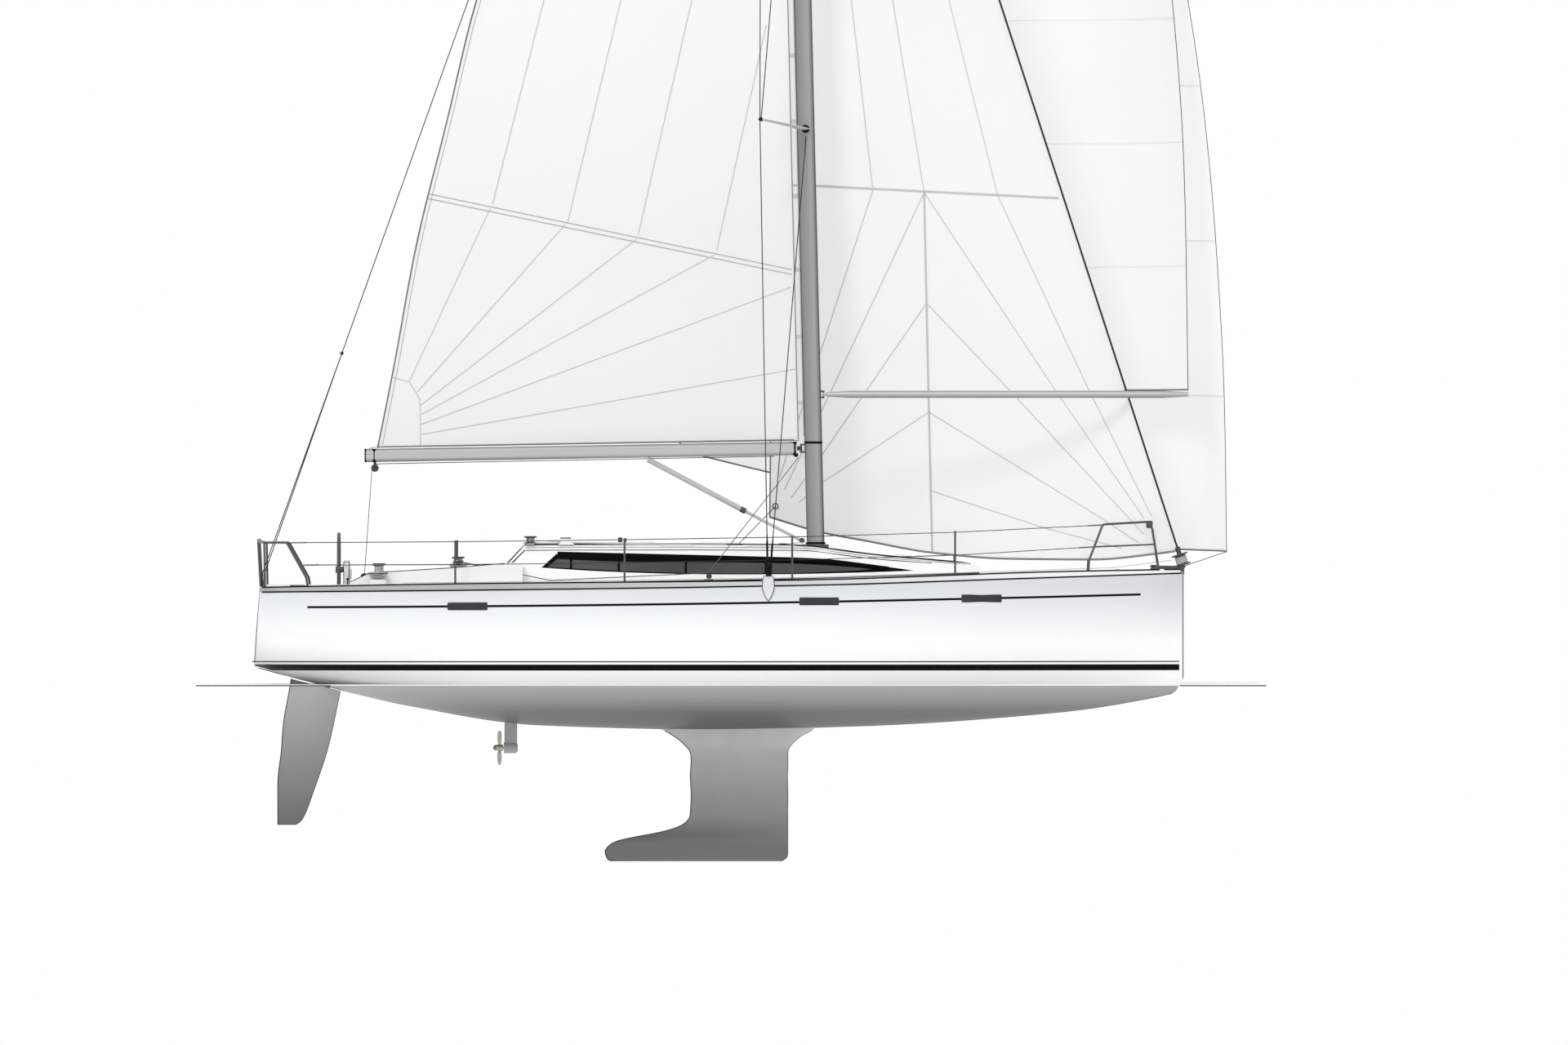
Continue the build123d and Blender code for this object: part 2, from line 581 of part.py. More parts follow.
# ---- Underwater parts ----
def keel():
    aft = through([(-2136, -1687), (-2110, -1722), (-2023, -1748), (-1950, -1700), (-1899, -1609),
                   (-1841, -1358), (-1774, -1018), (-1684, -791), (-1600, -725), (-1500, -712), (-845, -712),
                   (-731, -791), (-640, -900), (-557, -1048), (-470, -1230)])
    fore = through([(-2136, 385), (-2110, 432), (-2060, 459), (-819, 459), (-754, 488), (-641, 602),
                    (-562, 737), (-516, 817), (-470, 900)])
    thick = through([(-2136, 70), (-2120, 200), (-2080, 290), (-2000, 330), (-1880, 300), (-1760, 215),
                     (-1640, KEEL_THICK), (-845, KEEL_THICK), (-640, 215), (-470, 300)])
    heights = [-2136, -2124, -2105, -2080, -2050, -2010, -1960, -1920, -1880, -1841, -1800, -1760, -1720,
               -1680, -1630, -1570, -1450, -1250, -1000, -860, -790, -731, -680, -630, -590, -550, -510, -470]
    keep("keel", foil_solid(aft, fore, thick, heights) - hull_form)


def rudder():
    aft = through([(-1697, -5704), (-1204, -5704), (-809, -5662), (-503, -5640), (-266, -5600), (84, -5537),
                   (170, -5520)])
    fore = through([(-1697, -5487), (-1660, -5430), (-1599, -5388), (-1204, -5240), (-1013, -5171),
                    (-787, -5102), (-503, -5034), (-276, -4988), (-68, -4944), (170, -4895)])
    thick = through([(-1697, 30), (-1650, 42), (-1204, 62), (-500, RUDDER_THICK), (170, 104)])
    heights = [-1697, -1670, -1630, -1580, -1500, -1350, -1200, -1000, -800, -600, -400, -200, 0, 170]
    blade = foil_solid(aft, fore, thick, heights) - Pos(0, 0, -16) * hull_form
    keep("rudder_blade", blade)
    keep("rudder_stock", rod(stock_point(-180), stock_point(515), STOCK_RADIUS) - blade)


def propulsion():
    aft, fore = LEG_X
    strut = box((aft + 8, fore - 8), (-34, 34), (SHAFT_Z, SHAFT_Z + 420))
    strut = fillet(strut.edges().filter_by(Axis.Z).sort_by(Axis.X)[:2], 24)
    strut = fillet(strut.edges().filter_by(Axis.Z).sort_by(Axis.X)[-2:], 31)
    case = rod((aft, 0, SHAFT_Z), (fore, 0, SHAFT_Z), CASE_RADIUS)
    case = fillet(case.edges().filter_by(GeomType.CIRCLE).sort_by(Axis.X)[-1], CASE_NOSE)
    bore = rod((aft - 2, 0, SHAFT_Z), (aft + 60, 0, SHAFT_Z), 15)
    keep("saildrive_leg", strut + case - bore - hull_form)
    hub = rod((-3095, 0, SHAFT_Z), (-3057, 0, SHAFT_Z), 14, 36)
    hub += rod((-3057, 0, SHAFT_Z), (-2980, 0, SHAFT_Z), 40)
    hub += rod((-2985, 0, SHAFT_Z), (-2925, 0, SHAFT_Z), 14)
    blade = Rot(0, 0, 32) * Pos(0, 0, 121) * Rot(0, 90, 0) * extrude(Ellipse(86, 44), amount=5, both=True)
    blades = [Pos(PROPELLER_X + 15, 0, SHAFT_Z) * Rot(turn, 0, 0) * blade - hub for turn in (0, 180)]
    keep("propeller_hub", hub)
    keep("propeller_blades", *blades)


# ---- Rig ----
def mast():
    wires = []
    for z in (MAST_BASE[1], TAPER_Z, MASTHEAD_Z):
        section = Pos(mast_x(z), 0, z) * Ellipse(mast_half_chord(z), mast_half_width(z))
        wires.append(section.faces()[0].outer_wire())
    keep("mast", Solid.make_loft(wires, ruled=True))
    step = box((640, 955), (-105, 105), (1560, MAST_BASE[1] - BOND_GAP)) - roof_outer
    keep("mast_step", fillet(step.edges().filter_by(Axis.Z), 30))


def spreaders():
    arms = []
    for root_z, tip, chord in ((LOWER_SPREADER_Z, LOWER_TIP, 62), (UPPER_SPREADER_Z, UPPER_TIP, 52)):
        root = Vector(mast_x(root_z), MAST_WIDTH / 2 + 1, root_z)
        end = Vector(*tip)
        wires = []
        for at, size in ((root, chord), (end, chord * 0.55)):
            plane = Plane(origin=at, x_dir=Vector(1, 0, 0), z_dir=Vector(0, 1, 0))
            wires.append((plane * Ellipse(size, size * 0.3)).faces()[0].outer_wire())
        arms += both_sides(Solid.make_loft(wires, ruled=True))
    keep("spreaders", *arms)


def gooseneck_axis_x(z):
    return GOOSENECK[0] - MAST_RAKE * (z - GOOSENECK[1])


def boom_z(x):
    """Centre line of the boom."""
    return GOOSENECK[1] + BOOM_SLOPE * (x - GOOSENECK[0])


def mast_fittings():
    mast_solid = NODES["mast"].solids()[0]
    top = MASTHEAD_Z
    crane = box((18, mast_x(top) + 110), (-28, 28), (top + BOND_GAP, top + 46))
    lugs = []
    for x, z, gap, reach in ((GOOSENECK[0], GOOSENECK[1], 34, -1), (POLE_PIVOT_X, POLE_Z, 26, 1)):
        ends = sorted((x - 16 * -reach * -1, mast_x(z) + reach * 60))
        for low, high in ((z - gap - 22, z - gap), (z + gap, z + gap + 22)):
            lugs.append(box((ends[0] if reach > 0 else x - 16, x + 16 if reach > 0 else ends[1]),
                            (-22, 22), (low, high)))
    joined = [lug - mast_solid for lug in lugs]
    pins = [rod((axis(z - gap - 20), 0, z - gap - 20), (axis(z + gap + 20), 0, z + gap + 20), PIN_RADIUS)
            for axis, z, gap in ((gooseneck_axis_x, GOOSENECK[1], 34), (pole_axis_x, POLE_Z, 26))]
    keep("mast_fittings", crane, joined[0] + pins[0] + joined[1], joined[2] + pins[1] + joined[3])


def standing_rigging():
    keep("forestay", rod((forestay_x(1575), 0, 1575), (forestay_x(FORESTAY_TOP_Z), 0, FORESTAY_TOP_Z), 12))

    def on_stay(z):
        return (forestay_x(z), 0, z)

    drum = rod(on_stay(1432), on_stay(1456), 98) + rod(on_stay(1450), on_stay(1545), 58)
    drum += rod(on_stay(1540), on_stay(1564), 98) + rod(on_stay(1406), on_stay(1440), 16)
    keep("furler_drum", drum)

    def on_backstay(z, y=0):
        return (BACKSTAY_FOOT[0] + BACKSTAY_SLOPE * (z - BACKSTAY_FOOT[1]), y, z)

    stay = rod(on_backstay(BRIDLE_Z), on_backstay(MASTHEAD_Z - 5), 6)
    stay += Pos(*on_backstay(BRIDLE_Z)) * Sphere(22)
    foot_x = BACKSTAY_FOOT[0] + 6
    for y in (-BRIDLE_HALF, BRIDLE_HALF):
        foot = (foot_x, y, deck_z(foot_x, y) + 2)
        stay += rod(on_backstay(BRIDLE_Z), (BACKSTAY_FOOT[0] + 12, y, 1330), 6)
        stay += rod((BACKSTAY_FOOT[0] + 12, y, 1340), foot, 12)
    keep("backstay", stay)

    foot = Vector(*CHAINPLATE)
    lower, upper = Vector(*LOWER_TIP), Vector(*UPPER_TIP)
    caps, diagonals = [], []
    end_z = FORESTAY_TOP_Z - 150
    for side in (1, -1):
        flip = lambda v: (v.X, v.Y * side, v.Z)
        low_tip = lower + Vector(-14, 14, 0)
        top_tip = upper + Vector(-14, 14, 0)
        hound = Vector(mast_x(end_z), mast_half_width(end_z) + 8, end_z)
        cap = rod(flip(foot), flip(low_tip), SHROUD_RADIUS) + rod(flip(low_tip), flip(top_tip), SHROUD_RADIUS)
        cap += rod(flip(top_tip), flip(hound), SHROUD_RADIUS)
        cap += Pos(*flip(low_tip)) * Sphere(13) + Pos(*flip(top_tip)) * Sphere(13)
        caps.append(cap)
        for start, end_height in ((foot + Vector(26, -16, 0), LOWER_SPREADER_Z - 90),
                                  (low_tip + Vector(16, -20, 24), UPPER_SPREADER_Z - 80)):
            end = Vector(mast_x(end_height), mast_half_width(end_height) + 9, end_height)
            diagonals.append(rod(flip(start), flip(end), SHROUD_RADIUS))
    keep("cap_shrouds", *caps)
    keep("diagonal_shrouds", *diagonals)
    shield = [Line((163, 1309), (287, 1309)), Spline((287, 1309), (299, 1180), (225, 1007)),
              Spline((225, 1007), (151, 1180), (163, 1309))]
    plate = side_prism(shield, 2000) & box((100, 350), (1800, CHAINPLATE[1] - 8), (900, 1400))
    keep("chainplates", *both_sides(plate - hull_form))


def boom_and_sail():
    start = 48
    origin = Vector(GOOSENECK[0] - start, 0, boom_z(GOOSENECK[0] - start))
    along = Vector(-1, 0, -BOOM_SLOPE).normalized()
    plane = Plane(origin=origin, x_dir=(0, 1, 0), z_dir=along)
    length = (GOOSENECK[0] - start - BOOM_END_X) / abs(along.X)
    spar = plane * extrude(RectangleRounded(BOOM_WIDTH, BOOM_DEPTH, 42), amount=length)
    keep("boom", spar)
    toggle = box((GOOSENECK[0] - start - 6, GOOSENECK[0] + 14), (-20, 20),
                 (GOOSENECK[1] - 26, GOOSENECK[1] + 26))
    low, high = GOOSENECK[1] - 60, GOOSENECK[1] + 60
    toggle -= rod((gooseneck_axis_x(low), 0, low), (gooseneck_axis_x(high), 0, high), PIN_BORE)
    strap = box((-4546, -4514), (-14, 14), (2640, 2720))
    block = Pos(-4530, 0, 2612) * Rot(90, 0, 0) * Cylinder(46, 34)
    keep("boom_fittings", toggle - spar, strap + block - spar)
    tube = rod((-1233, 0, 2716), (-79, 0, 2102), 32) + rod((-79, 0, 2102), (636, 0, 1728), 19)
    keep("kicker", tube - spar)
    keep("mainsail", sheet(mainsail_point, 16, 28))


def pole_and_sail():
    yaw = Rot(0, 0, POLE_YAW)
    tube = rod((30, 0, 0), (330, 0, 0), 26, POLE_RADIUS)
    tube += rod((330, 0, 0), (POLE_LENGTH - 300, 0, 0), POLE_RADIUS)
    tube += rod((POLE_LENGTH - 300, 0, 0), (POLE_LENGTH, 0, 0), POLE_RADIUS, 28)
    tube += box((-14, 40), (-17, 17), (-18, 18))
    low, high = POLE_Z - 60, POLE_Z + 60
    bore = rod((pole_axis_x(low), 0, low), (pole_axis_x(high), 0, high), PIN_BORE)
    keep("spinnaker_pole", Pos(POLE_PIVOT_X, 0, POLE_Z) * yaw * tube - bore)
    keep("spinnaker", sheet(spinnaker_point, 16, 24))


def headsails():
    keep("jib", sheet(jib_point, 16, 26))
    keep("gennaker", sheet(gennaker_point, 18, 26))


# ---- Deck gear ----
def rails():
    def on_deck(x, inboard, lift=6):
        y = breadth(x) - inboard
        return (x, y, deck_z(x, y) + lift)

    foot, front = on_deck(4085, 62), on_deck(4945, 62)
    top_aft, top_fore = (4262, foot[1] - 95, 1930), (4800, front[1] + 25, 1962)
    port = bent_tube([foot, (4096, foot[1] - 10, 1500), top_aft, top_fore,
                      (4862, front[1] + 12, 1880), front], 40, 14)
    mid = rod((4160, foot[1] - 42, 1660), (4896, front[1] + 8, 1690), 10) - port
    keep("pulpit", *both_sides(port + mid))

    side, corner = on_deck(-5319, 62), on_deck(-5842, 110)
    inner = (-5901, 860, deck_z(-5901, 860) + 6)
    port = bent_tube([side, (-5345, side[1] - 6, 1290), (-5580, side[1] - 30, 1712),
                      (-5862, corner[1] - 20, 1712), (-5922, 1050, 1728), (-5932, 880, 1752), inner], 45, 14)
    post = rod(corner, (-5852, corner[1] - 24, 1706), 13) - port
    keep("pushpits", *both_sides(port + post))

    posts = []
    for x in (-3547, -1507, 513, 2477):
        y = breadth(x) - 62
        base = deck_z(x, y) + 5
        post = rod((x, y, base), (x, y - 12, base + 572), 12.5) + rod((x, y, base), (x, y, base + 55), 22)
        posts += both_sides(post)
    keep("stanchions", *posts)


def winch(x, y, z, radius, height, plinth=0):
    """Base, waisted drum and self-tailing crown, on a plinth that reaches down to the deck."""
    parts = rod((x, y, z - plinth), (x, y, z + 0.14 * height), radius)
    parts += rod((x, y, z + 0.1 * height), (x, y, z + 0.3 * height), radius * 0.92, radius * 0.6)
    parts += rod((x, y, z + 0.28 * height), (x, y, z + 0.72 * height), radius * 0.6)
    parts += rod((x, y, z + 0.7 * height), (x, y, z + 0.82 * height), radius * 0.6, radius * 0.85)
    parts += rod((x, y, z + 0.8 * height), (x, y, z + height), radius * 0.85)
    return parts


def deck_gear():
    cockpit_solid = NODES["cockpit"].solids()[0]
    deck_solid = NODES["deck"].solids()[0]
    aft = winch(-4480, 1440, 1285, 92, 180, 150) - deck_solid
    side = winch(-3523, 1210, 1398, 84, 141, 20) - cockpit_solid
    top = winch(-2650, 520, 1668, 66, 120, 40) - roof_outer
    keep("winches", *[solid for item in (aft, side, top) for solid in both_sides(item)])
    outline = [(-2305, 1600), (-2305, 1680), (-2255, 1745), (-2215, 1762), (-2165, 1748), (-2118, 1680),
               (-2118, 1600)]
    hump = side_prism(outline, 2000) & box((-2400, -2000), (430, 590), (1600, 1800))
    keep("rope_clutches", *both_sides(hump - roof_outer))

    cleats = []
    for x, y, half in ((4930, 185, 80), (-5450, breadth(-5450) - 150, 90)):
        base = deck_z(x, y) + 4
        cleat = rod((x - half, y, base + 42), (x + half, y, base + 42), 12)
        for foot_x in (x - 22, x + 22):
            cleat += rod((foot_x, y, base), (foot_x, y, base + 42), 11)
        cleats += both_sides(cleat)
    keep("mooring_cleats", *cleats)
    stem = box((5070, 5252), (-24, 24), (1330, 1404)) - deck_solid - NODES["hull"].solids()[0]
    keep("bow_fitting", (stem - NODES["toe_rail"].solids()[0] - NODES["furler_drum"].solids()[0])
         .solids().sort_by(SortBy.VOLUME)[-1])

    beam = box((-4688, -4632), (-FOOTWELL_HALF + 1, FOOTWELL_HALF - 1), (1128, 1180))
    car = box((-4702, -4618), (-48, 48), (1180, 1222)) + rod((-4660, 0, 1215), (-4660, 0, 1262), 14)
    car += Pos(-4660, 0, 1298) * Rot(90, 0, 0) * Cylinder(44, 34)
    keep("mainsheet_traveller", beam + car)


WHEEL_X, WHEEL_Y, WHEEL_Z, WHEEL_RADIUS = -4965, 800, 1386, 447


def steering():
    posts = []
    for y in (WHEEL_Y, -WHEEL_Y):
        post = fillet(box((-4904, -4830), (y - 100, y + 100), (SOLE_Z + BOND_GAP, 1485)).edges(), 18)
        posts.append(post - rod((-4910, y, WHEEL_Z), (-4850, y, WHEEL_Z), 15))
    keep("steering_pedestals", *posts)
    wheel = rod((-26, 0, 0), (52, 0, 0), 36) + rod((45, 0, 0), (112, 0, 0), 14)
    for turn in range(1, 361, 72):
        wheel += Rot(turn, 0, 0) * rod((0, 0, 20), (0, 0, WHEEL_RADIUS - 10), 7)
    rim = Rot(0, 90, 0) * (Cylinder(WHEEL_RADIUS, 26) - Cylinder(WHEEL_RADIUS - 26, 30))
    wheel += fillet(rim.edges(), 11)
    keep("steering_wheel_port", Pos(WHEEL_X, WHEEL_Y, WHEEL_Z) * wheel)
    keep("steering_wheel_starboard", Pos(WHEEL_X, -WHEEL_Y, WHEEL_Z) * wheel)


for build in (hull, deck, toe_rail, cockpit, coachroof, cabin_inside, hatches, keel, rudder, propulsion, mast,
              spreaders, mast_fittings, standing_rigging, boom_and_sail, pole_and_sail, headsails, rails,
              deck_gear, steering):
    build()

os.makedirs("parts", exist_ok=True)
for name, node in NODES.items():
    export_step(node, f"parts/{name}.step")
    print(f"{name}: {len(node.solids())} solids")
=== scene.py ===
"""Looks of the sailing yacht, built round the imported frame. Metres, with +X forward, +Y port and +Z up."""
import json
import math

import bpy
from mathutils import Matrix, Vector

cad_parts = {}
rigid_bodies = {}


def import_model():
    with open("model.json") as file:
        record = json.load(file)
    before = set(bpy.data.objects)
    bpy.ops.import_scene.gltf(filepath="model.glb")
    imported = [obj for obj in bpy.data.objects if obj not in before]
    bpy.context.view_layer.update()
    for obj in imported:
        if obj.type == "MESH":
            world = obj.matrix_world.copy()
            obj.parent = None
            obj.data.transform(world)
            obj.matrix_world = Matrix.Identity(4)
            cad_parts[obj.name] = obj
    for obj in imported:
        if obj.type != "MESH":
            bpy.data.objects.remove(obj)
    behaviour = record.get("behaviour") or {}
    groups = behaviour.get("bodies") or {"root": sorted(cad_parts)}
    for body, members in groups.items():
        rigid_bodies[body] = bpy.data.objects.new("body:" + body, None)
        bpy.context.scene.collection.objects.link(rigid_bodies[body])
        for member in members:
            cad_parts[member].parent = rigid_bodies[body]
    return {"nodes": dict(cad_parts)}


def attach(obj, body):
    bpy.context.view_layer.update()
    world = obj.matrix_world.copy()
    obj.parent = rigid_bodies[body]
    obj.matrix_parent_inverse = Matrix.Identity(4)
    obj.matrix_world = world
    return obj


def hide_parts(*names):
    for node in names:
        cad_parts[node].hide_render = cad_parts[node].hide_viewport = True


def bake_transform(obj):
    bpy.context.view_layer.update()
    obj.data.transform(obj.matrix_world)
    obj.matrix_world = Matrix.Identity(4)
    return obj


for leftover in list(bpy.data.objects):
    bpy.data.objects.remove(leftover)
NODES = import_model()["nodes"]
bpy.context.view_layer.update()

# ---- Measures that come up more than once ----
MAST_FOOT_X, MAST_FOOT_Z, MAST_RAKE = 0.797, 1.69, 0.0237
MAST_SLIMNESS = 0.6075
BOOM_END_X, BOOM_END_Z, BOOM_TILT = 0.62, 2.85, 0.0165
POLE_ROOT_X, POLE_Z = 0.888, 3.503
MAIN_HEAD, JIB_HEAD, GENNAKER_HEAD = 17.65, 15.25, 17.25
KITE_FOOT, KITE_RISE = 3.556, 12.494
LUFF_GAP = 0.022
FAIR_LINE, THIN_ROPE, ROPE = 0.004, 0.005, 0.006
PLANKS_PER_METRE = 18.0
SIDES = ((1, "port"), (-1, "starboard"))


# ---- Curves shared with the CAD part ----
def through(points):
    """Smooth curve through points that never overshoots them."""
    xs, ys = [p[0] for p in points], [p[1] for p in points]
    slopes = [(b - a) / (d - c) for a, b, c, d in zip(ys, ys[1:], xs, xs[1:])]
    tangents = [slopes[0]]
    for left, right in zip(slopes, slopes[1:]):
        tangents.append(0 if left * right <= 0 else 2 * left * right / (left + right))
    tangents.append(slopes[-1])

    def value(x):
        x = min(max(x, xs[0]), xs[-1])
        i = min(max(sum(1 for knot in xs if knot <= x) - 1, 0), len(xs) - 2)
        width = xs[i + 1] - xs[i]
        t = (x - xs[i]) / width
        return ((2 * t**3 - 3 * t**2 + 1) * ys[i] + (t**3 - 2 * t**2 + t) * width * tangents[i]
                + (3 * t**2 - 2 * t**3) * ys[i + 1] + (t**3 - t**2) * width * tangents[i + 1])
    return value


sheer = through([(-6.06, 1.113), (-3.14, 1.14), (0.81, 1.199), (3.28, 1.278), (5.24, 1.342)])
bottom = through([(-6.06, 0.227), (-5.19, -0.005), (-4.125, -0.257), (-2.55, -0.493), (-0.4, -0.545),
                  (1.4, -0.503), (3.77, -0.336), (4.95, -0.148), (5.12, -0.105), (5.24, 0.079)])
breadth = through([(-6.06, 1.49), (-5, 1.64), (-3, 1.81), (-1, 1.875), (1, 1.795), (2.5, 1.49), (3.1, 1.275),
                   (4, 0.88), (4.9, 0.355), (5.24, 0.018)])
bilge = through([(-6.06, 3), (-3, 2.2), (0, 2), (3, 1.75), (5.24, 1.3)])
flare = through([(-6.06, 3.2), (0, 3), (3, 2.5), (5.24, 1.6)])
rail_height = through([(-6.06, 0.064), (-3.138, 0.088), (0.81, 0.074), (3.276, 0.079), (5.24, 0.054)])
roof_top = through([(-2.99, 1.68), (-2.151, 1.688), (-0.7, 1.69), (0.65, 1.675), (0.93, 1.64), (1.535, 1.559),
                    (2.088, 1.51), (2.591, 1.464), (2.78, 1.4)])
roof_half = through([(-2.99, 1.085), (-1.5, 1.085), (0, 1.035), (1, 0.9), (1.987, 0.64), (2.591, 0.4),
                     (2.78, 0.27)])
mast_half_chord = through([(1.69, 0.107), (13.8, 0.107), (17.9, 0.075)])


def hull_half(x, z):
    t = min(max((z - bottom(x)) / (sheer(x) - bottom(x)), 0), 1)
    return breadth(x) * (1 - (1 - t) ** flare(x)) ** (1 / bilge(x))


def deck_z(x, y=0.0):
    edge = breadth(x) - 0.0364
    return sheer(x) + 0.014 + 0.048 * breadth(x) * (1 - (y / edge) ** 2)


def roof_z(x, y=0.0):
    foot = deck_z(x, roof_half(x))
    reach = min(abs(y) / (roof_half(x) * 0.88), 1)
    return foot + (roof_top(x) - foot) * (1 - reach**4) ** 0.25


def roof_side(x, z):
    """Half-width of the coachroof at a height on its side."""
    foot = deck_z(x, roof_half(x))
    rise = min(max((z - foot) / (roof_top(x) - foot), 0), 0.999)
    return roof_half(x) * (1 - rise**4) ** 0.25 * (1 - 0.12 * rise)


def mast_x(z):
    return MAST_FOOT_X - MAST_RAKE * (z - MAST_FOOT_Z)


def forestay_x(z):
    return 5.181 - 0.325 * (z - 1.608)


def boom_z(x):
    return BOOM_END_Z + BOOM_TILT * (x - BOOM_END_X)


def pole_axis_x(z):
    return POLE_ROOT_X - MAST_RAKE * (z - POLE_Z)


# ---- Materials ----
def linear(rgb):
    """Linear colour of a screen colour, in which one number stands for a grey."""
    rgb = (rgb,) * 3 if isinstance(rgb, int) else rgb
    return tuple(((c / 255 + 0.055) / 1.055) ** 2.4 for c in rgb) + (1,)


class Paint:
    """A procedural material, built up from the piece's own coordinates."""

    def __init__(self, name, rgb, rough=0.5, metal=0.0, shine=0.5, coat=0.0, sheen=0.0):
        self.mat = bpy.data.materials.new(name)
        self.mat.use_nodes = True
        self.tree = self.mat.node_tree
        self.shader = self.tree.nodes["Principled BSDF"]
        self.color, self.start = None, linear(rgb)
        values = {"Base Color": self.start, "Roughness": rough, "Metallic": metal,
                  "Specular IOR Level": shine, "Coat Weight": coat, "Sheen Weight": sheen}
        for key, value in values.items():
            self.shader.inputs[key].default_value = value
        self.coords = self.node("ShaderNodeTexCoord").outputs["Object"]
        split = self.node("ShaderNodeSeparateXYZ")
        self.wire(self.coords, split.inputs[0])
        self.x, self.y, self.z = split.outputs

    def node(self, kind, **settings):
        made = self.tree.nodes.new(kind)
        for key, value in settings.items():
            setattr(made, key, value)
        return made

    def wire(self, source, target):
        if isinstance(source, (int, float, tuple)):
            target.default_value = source
        else:
            self.tree.links.new(source, target)

    def math(self, operation, a, b=0.0):
        made = self.node("ShaderNodeMath", operation=operation)
        self.wire(a, made.inputs[0])
        self.wire(b, made.inputs[1])
        return made.outputs[0]

    def plus(self, a, b):
        return self.math("ADD", a, b)

    def less(self, a, b):
        return self.math("SUBTRACT", a, b)

    def times(self, a, b):
        return self.math("MULTIPLY", a, b)

    def spread(self, value, low, high):
        """0 up to low, 1 from high and even in between."""
        made = self.node("ShaderNodeMapRange")
        for source, target in zip((value, low, high), made.inputs):
            self.wire(source, target)
        return made.outputs[0]

    def over(self, value, edge, soft=0.001):
        """0 below the edge and 1 above it."""
        return self.spread(value, edge - soft, edge + soft)

    def band(self, value, low, high, soft=0.001):
        """1 between low and high, 0 outside."""
        return self.less(self.over(value, low, soft), self.over(value, high, soft))

    def noise(self, scale, stretch=(1, 1, 1), detail=4.0):
        spread = self.node("ShaderNodeMapping")
        spread.inputs["Scale"].default_value = stretch
        self.wire(self.coords, spread.inputs[0])
        made = self.node("ShaderNodeTexNoise")
        made.inputs["Scale"].default_value = scale
        made.inputs["Detail"].default_value = detail
        self.wire(spread.outputs[0], made.inputs["Vector"])
        return made.outputs[0]

    def cells(self, scale):
        made = self.node("ShaderNodeTexVoronoi")
        made.inputs["Scale"].default_value = scale
        self.wire(self.coords, made.inputs["Vector"])
        return made.outputs[0]

    def lay(self, color):
        self.color = color
        self.wire(color, self.shader.inputs["Base Color"])
        return self

    def ramp(self, value, stops):
        """Colour that follows a value through the stops, each of them (value, colour)."""
        low, high = stops[0][0], stops[-1][0]
        made = self.node("ShaderNodeValToRGB")
        self.wire(self.spread(value, low, high), made.inputs[0])
        elements = made.color_ramp.elements
        elements[0].color, elements[1].color = linear(stops[0][1]), linear(stops[-1][1])
        for place, rgb in stops[1:-1]:
            elements.new((place - low) / (high - low)).color = linear(rgb)
        return self.lay(made.outputs[0])

    def mix(self, factor, rgb):
        """Lays a colour over what is there, where the factor is 1."""
        made = self.node("ShaderNodeMix", data_type="RGBA")
        self.wire(factor, made.inputs[0])
        self.wire(self.color or self.start, made.inputs[6])
        made.inputs[7].default_value = linear(rgb)
        return self.lay(made.outputs[2])

    def mottle(self, scale, rgb, amount=0.35, stretch=(1, 1, 1)):
        """Faint unevenness of colour."""
        return self.mix(self.times(self.over(self.noise(scale, stretch), 0.55, 0.2), amount), rgb)

    def bump(self, height, distance=0.001, strength=0.5):
        made = self.node("ShaderNodeBump")
        made.inputs["Strength"].default_value = strength
        made.inputs["Distance"].default_value = distance
        self.wire(height, made.inputs["Height"])
        self.wire(made.outputs[0], self.shader.inputs["Normal"])
        return self


def gelcoat(name, rgb, rough=0.25):
    return Paint(name, rgb, rough, shine=0.3).mottle(1.3, tuple(c - 5 for c in rgb), 0.5)


def metal(name, rgb, rough=0.3):
    paint = Paint(name, rgb, rough, 0.9).mottle(30, tuple(c - 18 for c in rgb), 0.6)
    return paint.bump(paint.noise(400), 0.0004, 0.2)


def alloy(name, grey):
    return Paint(name, (grey, grey, grey + 1), 0.4, 0.3, 0.2)


def wire_rope(name, rgb):
    return Paint(name, rgb, 0.5, 0.2, 0.2).mottle(900, tuple(c + 14 for c in rgb))


def tape(name, rgb, speck):
    return Paint(name, rgb, 0.7).mottle(30, speck)


def underwater(name, stops):
    paint = Paint(name, 150, 0.6, shine=0.2)
    # The ramp by height paints the antifouling grey darker towards the bottom, as shade.
    paint.ramp(paint.z, stops).mottle(3.0, 128, 0.12)
    return paint.bump(paint.noise(70), 0.0008, 0.35)


topsides = Paint("topsides", 250, 0.4, shine=0.08)
# Below the waterline the ramp is the grey of the antifouling, painted darker towards the bottom as shade;
# above the boot stripe the white topsides carry a painted pale blue-grey shade that deepens towards the
# sheer.
topsides.ramp(topsides.z, [(-0.6, 80), (-0.533, 86), (-0.335, 118), (-0.18, 160), (-0.012, 186),
                           (-0.004, 242), (0.17, 249), (0.5, 254), (0.77, (238, 242, 241)),
                           (0.89, (231, 235, 238)), (1.0, (225, 229, 232)), (1.164, (217, 221, 224)),
                           (1.4, (215, 219, 222))])
cove_rise = topsides.times(topsides.plus(topsides.times(topsides.x, 0.001179), 0.01585), topsides.x)
above_cove = topsides.less(topsides.z, topsides.plus(cove_rise, 0.984))
cove = topsides.band(above_cove, -0.014, 0.014, 0.002)
topsides.mix(topsides.times(cove, topsides.band(topsides.x, -5.33, 4.72)), (8, 9, 10))
behind_stem = topsides.less(1.0, topsides.over(topsides.x, 5.192, 0.004))
for low, high in ((0.168, 0.242), (0.268, 0.282)):
    topsides.mix(topsides.times(topsides.band(topsides.z, low, high, 0.002), behind_stem), 6)
# Grey painted on the stem's forward edge as shade.
topsides.mix(topsides.over(topsides.x, 5.226, 0.006), 150)
topsides.bump(topsides.noise(0.9), 0.004, 0.12)

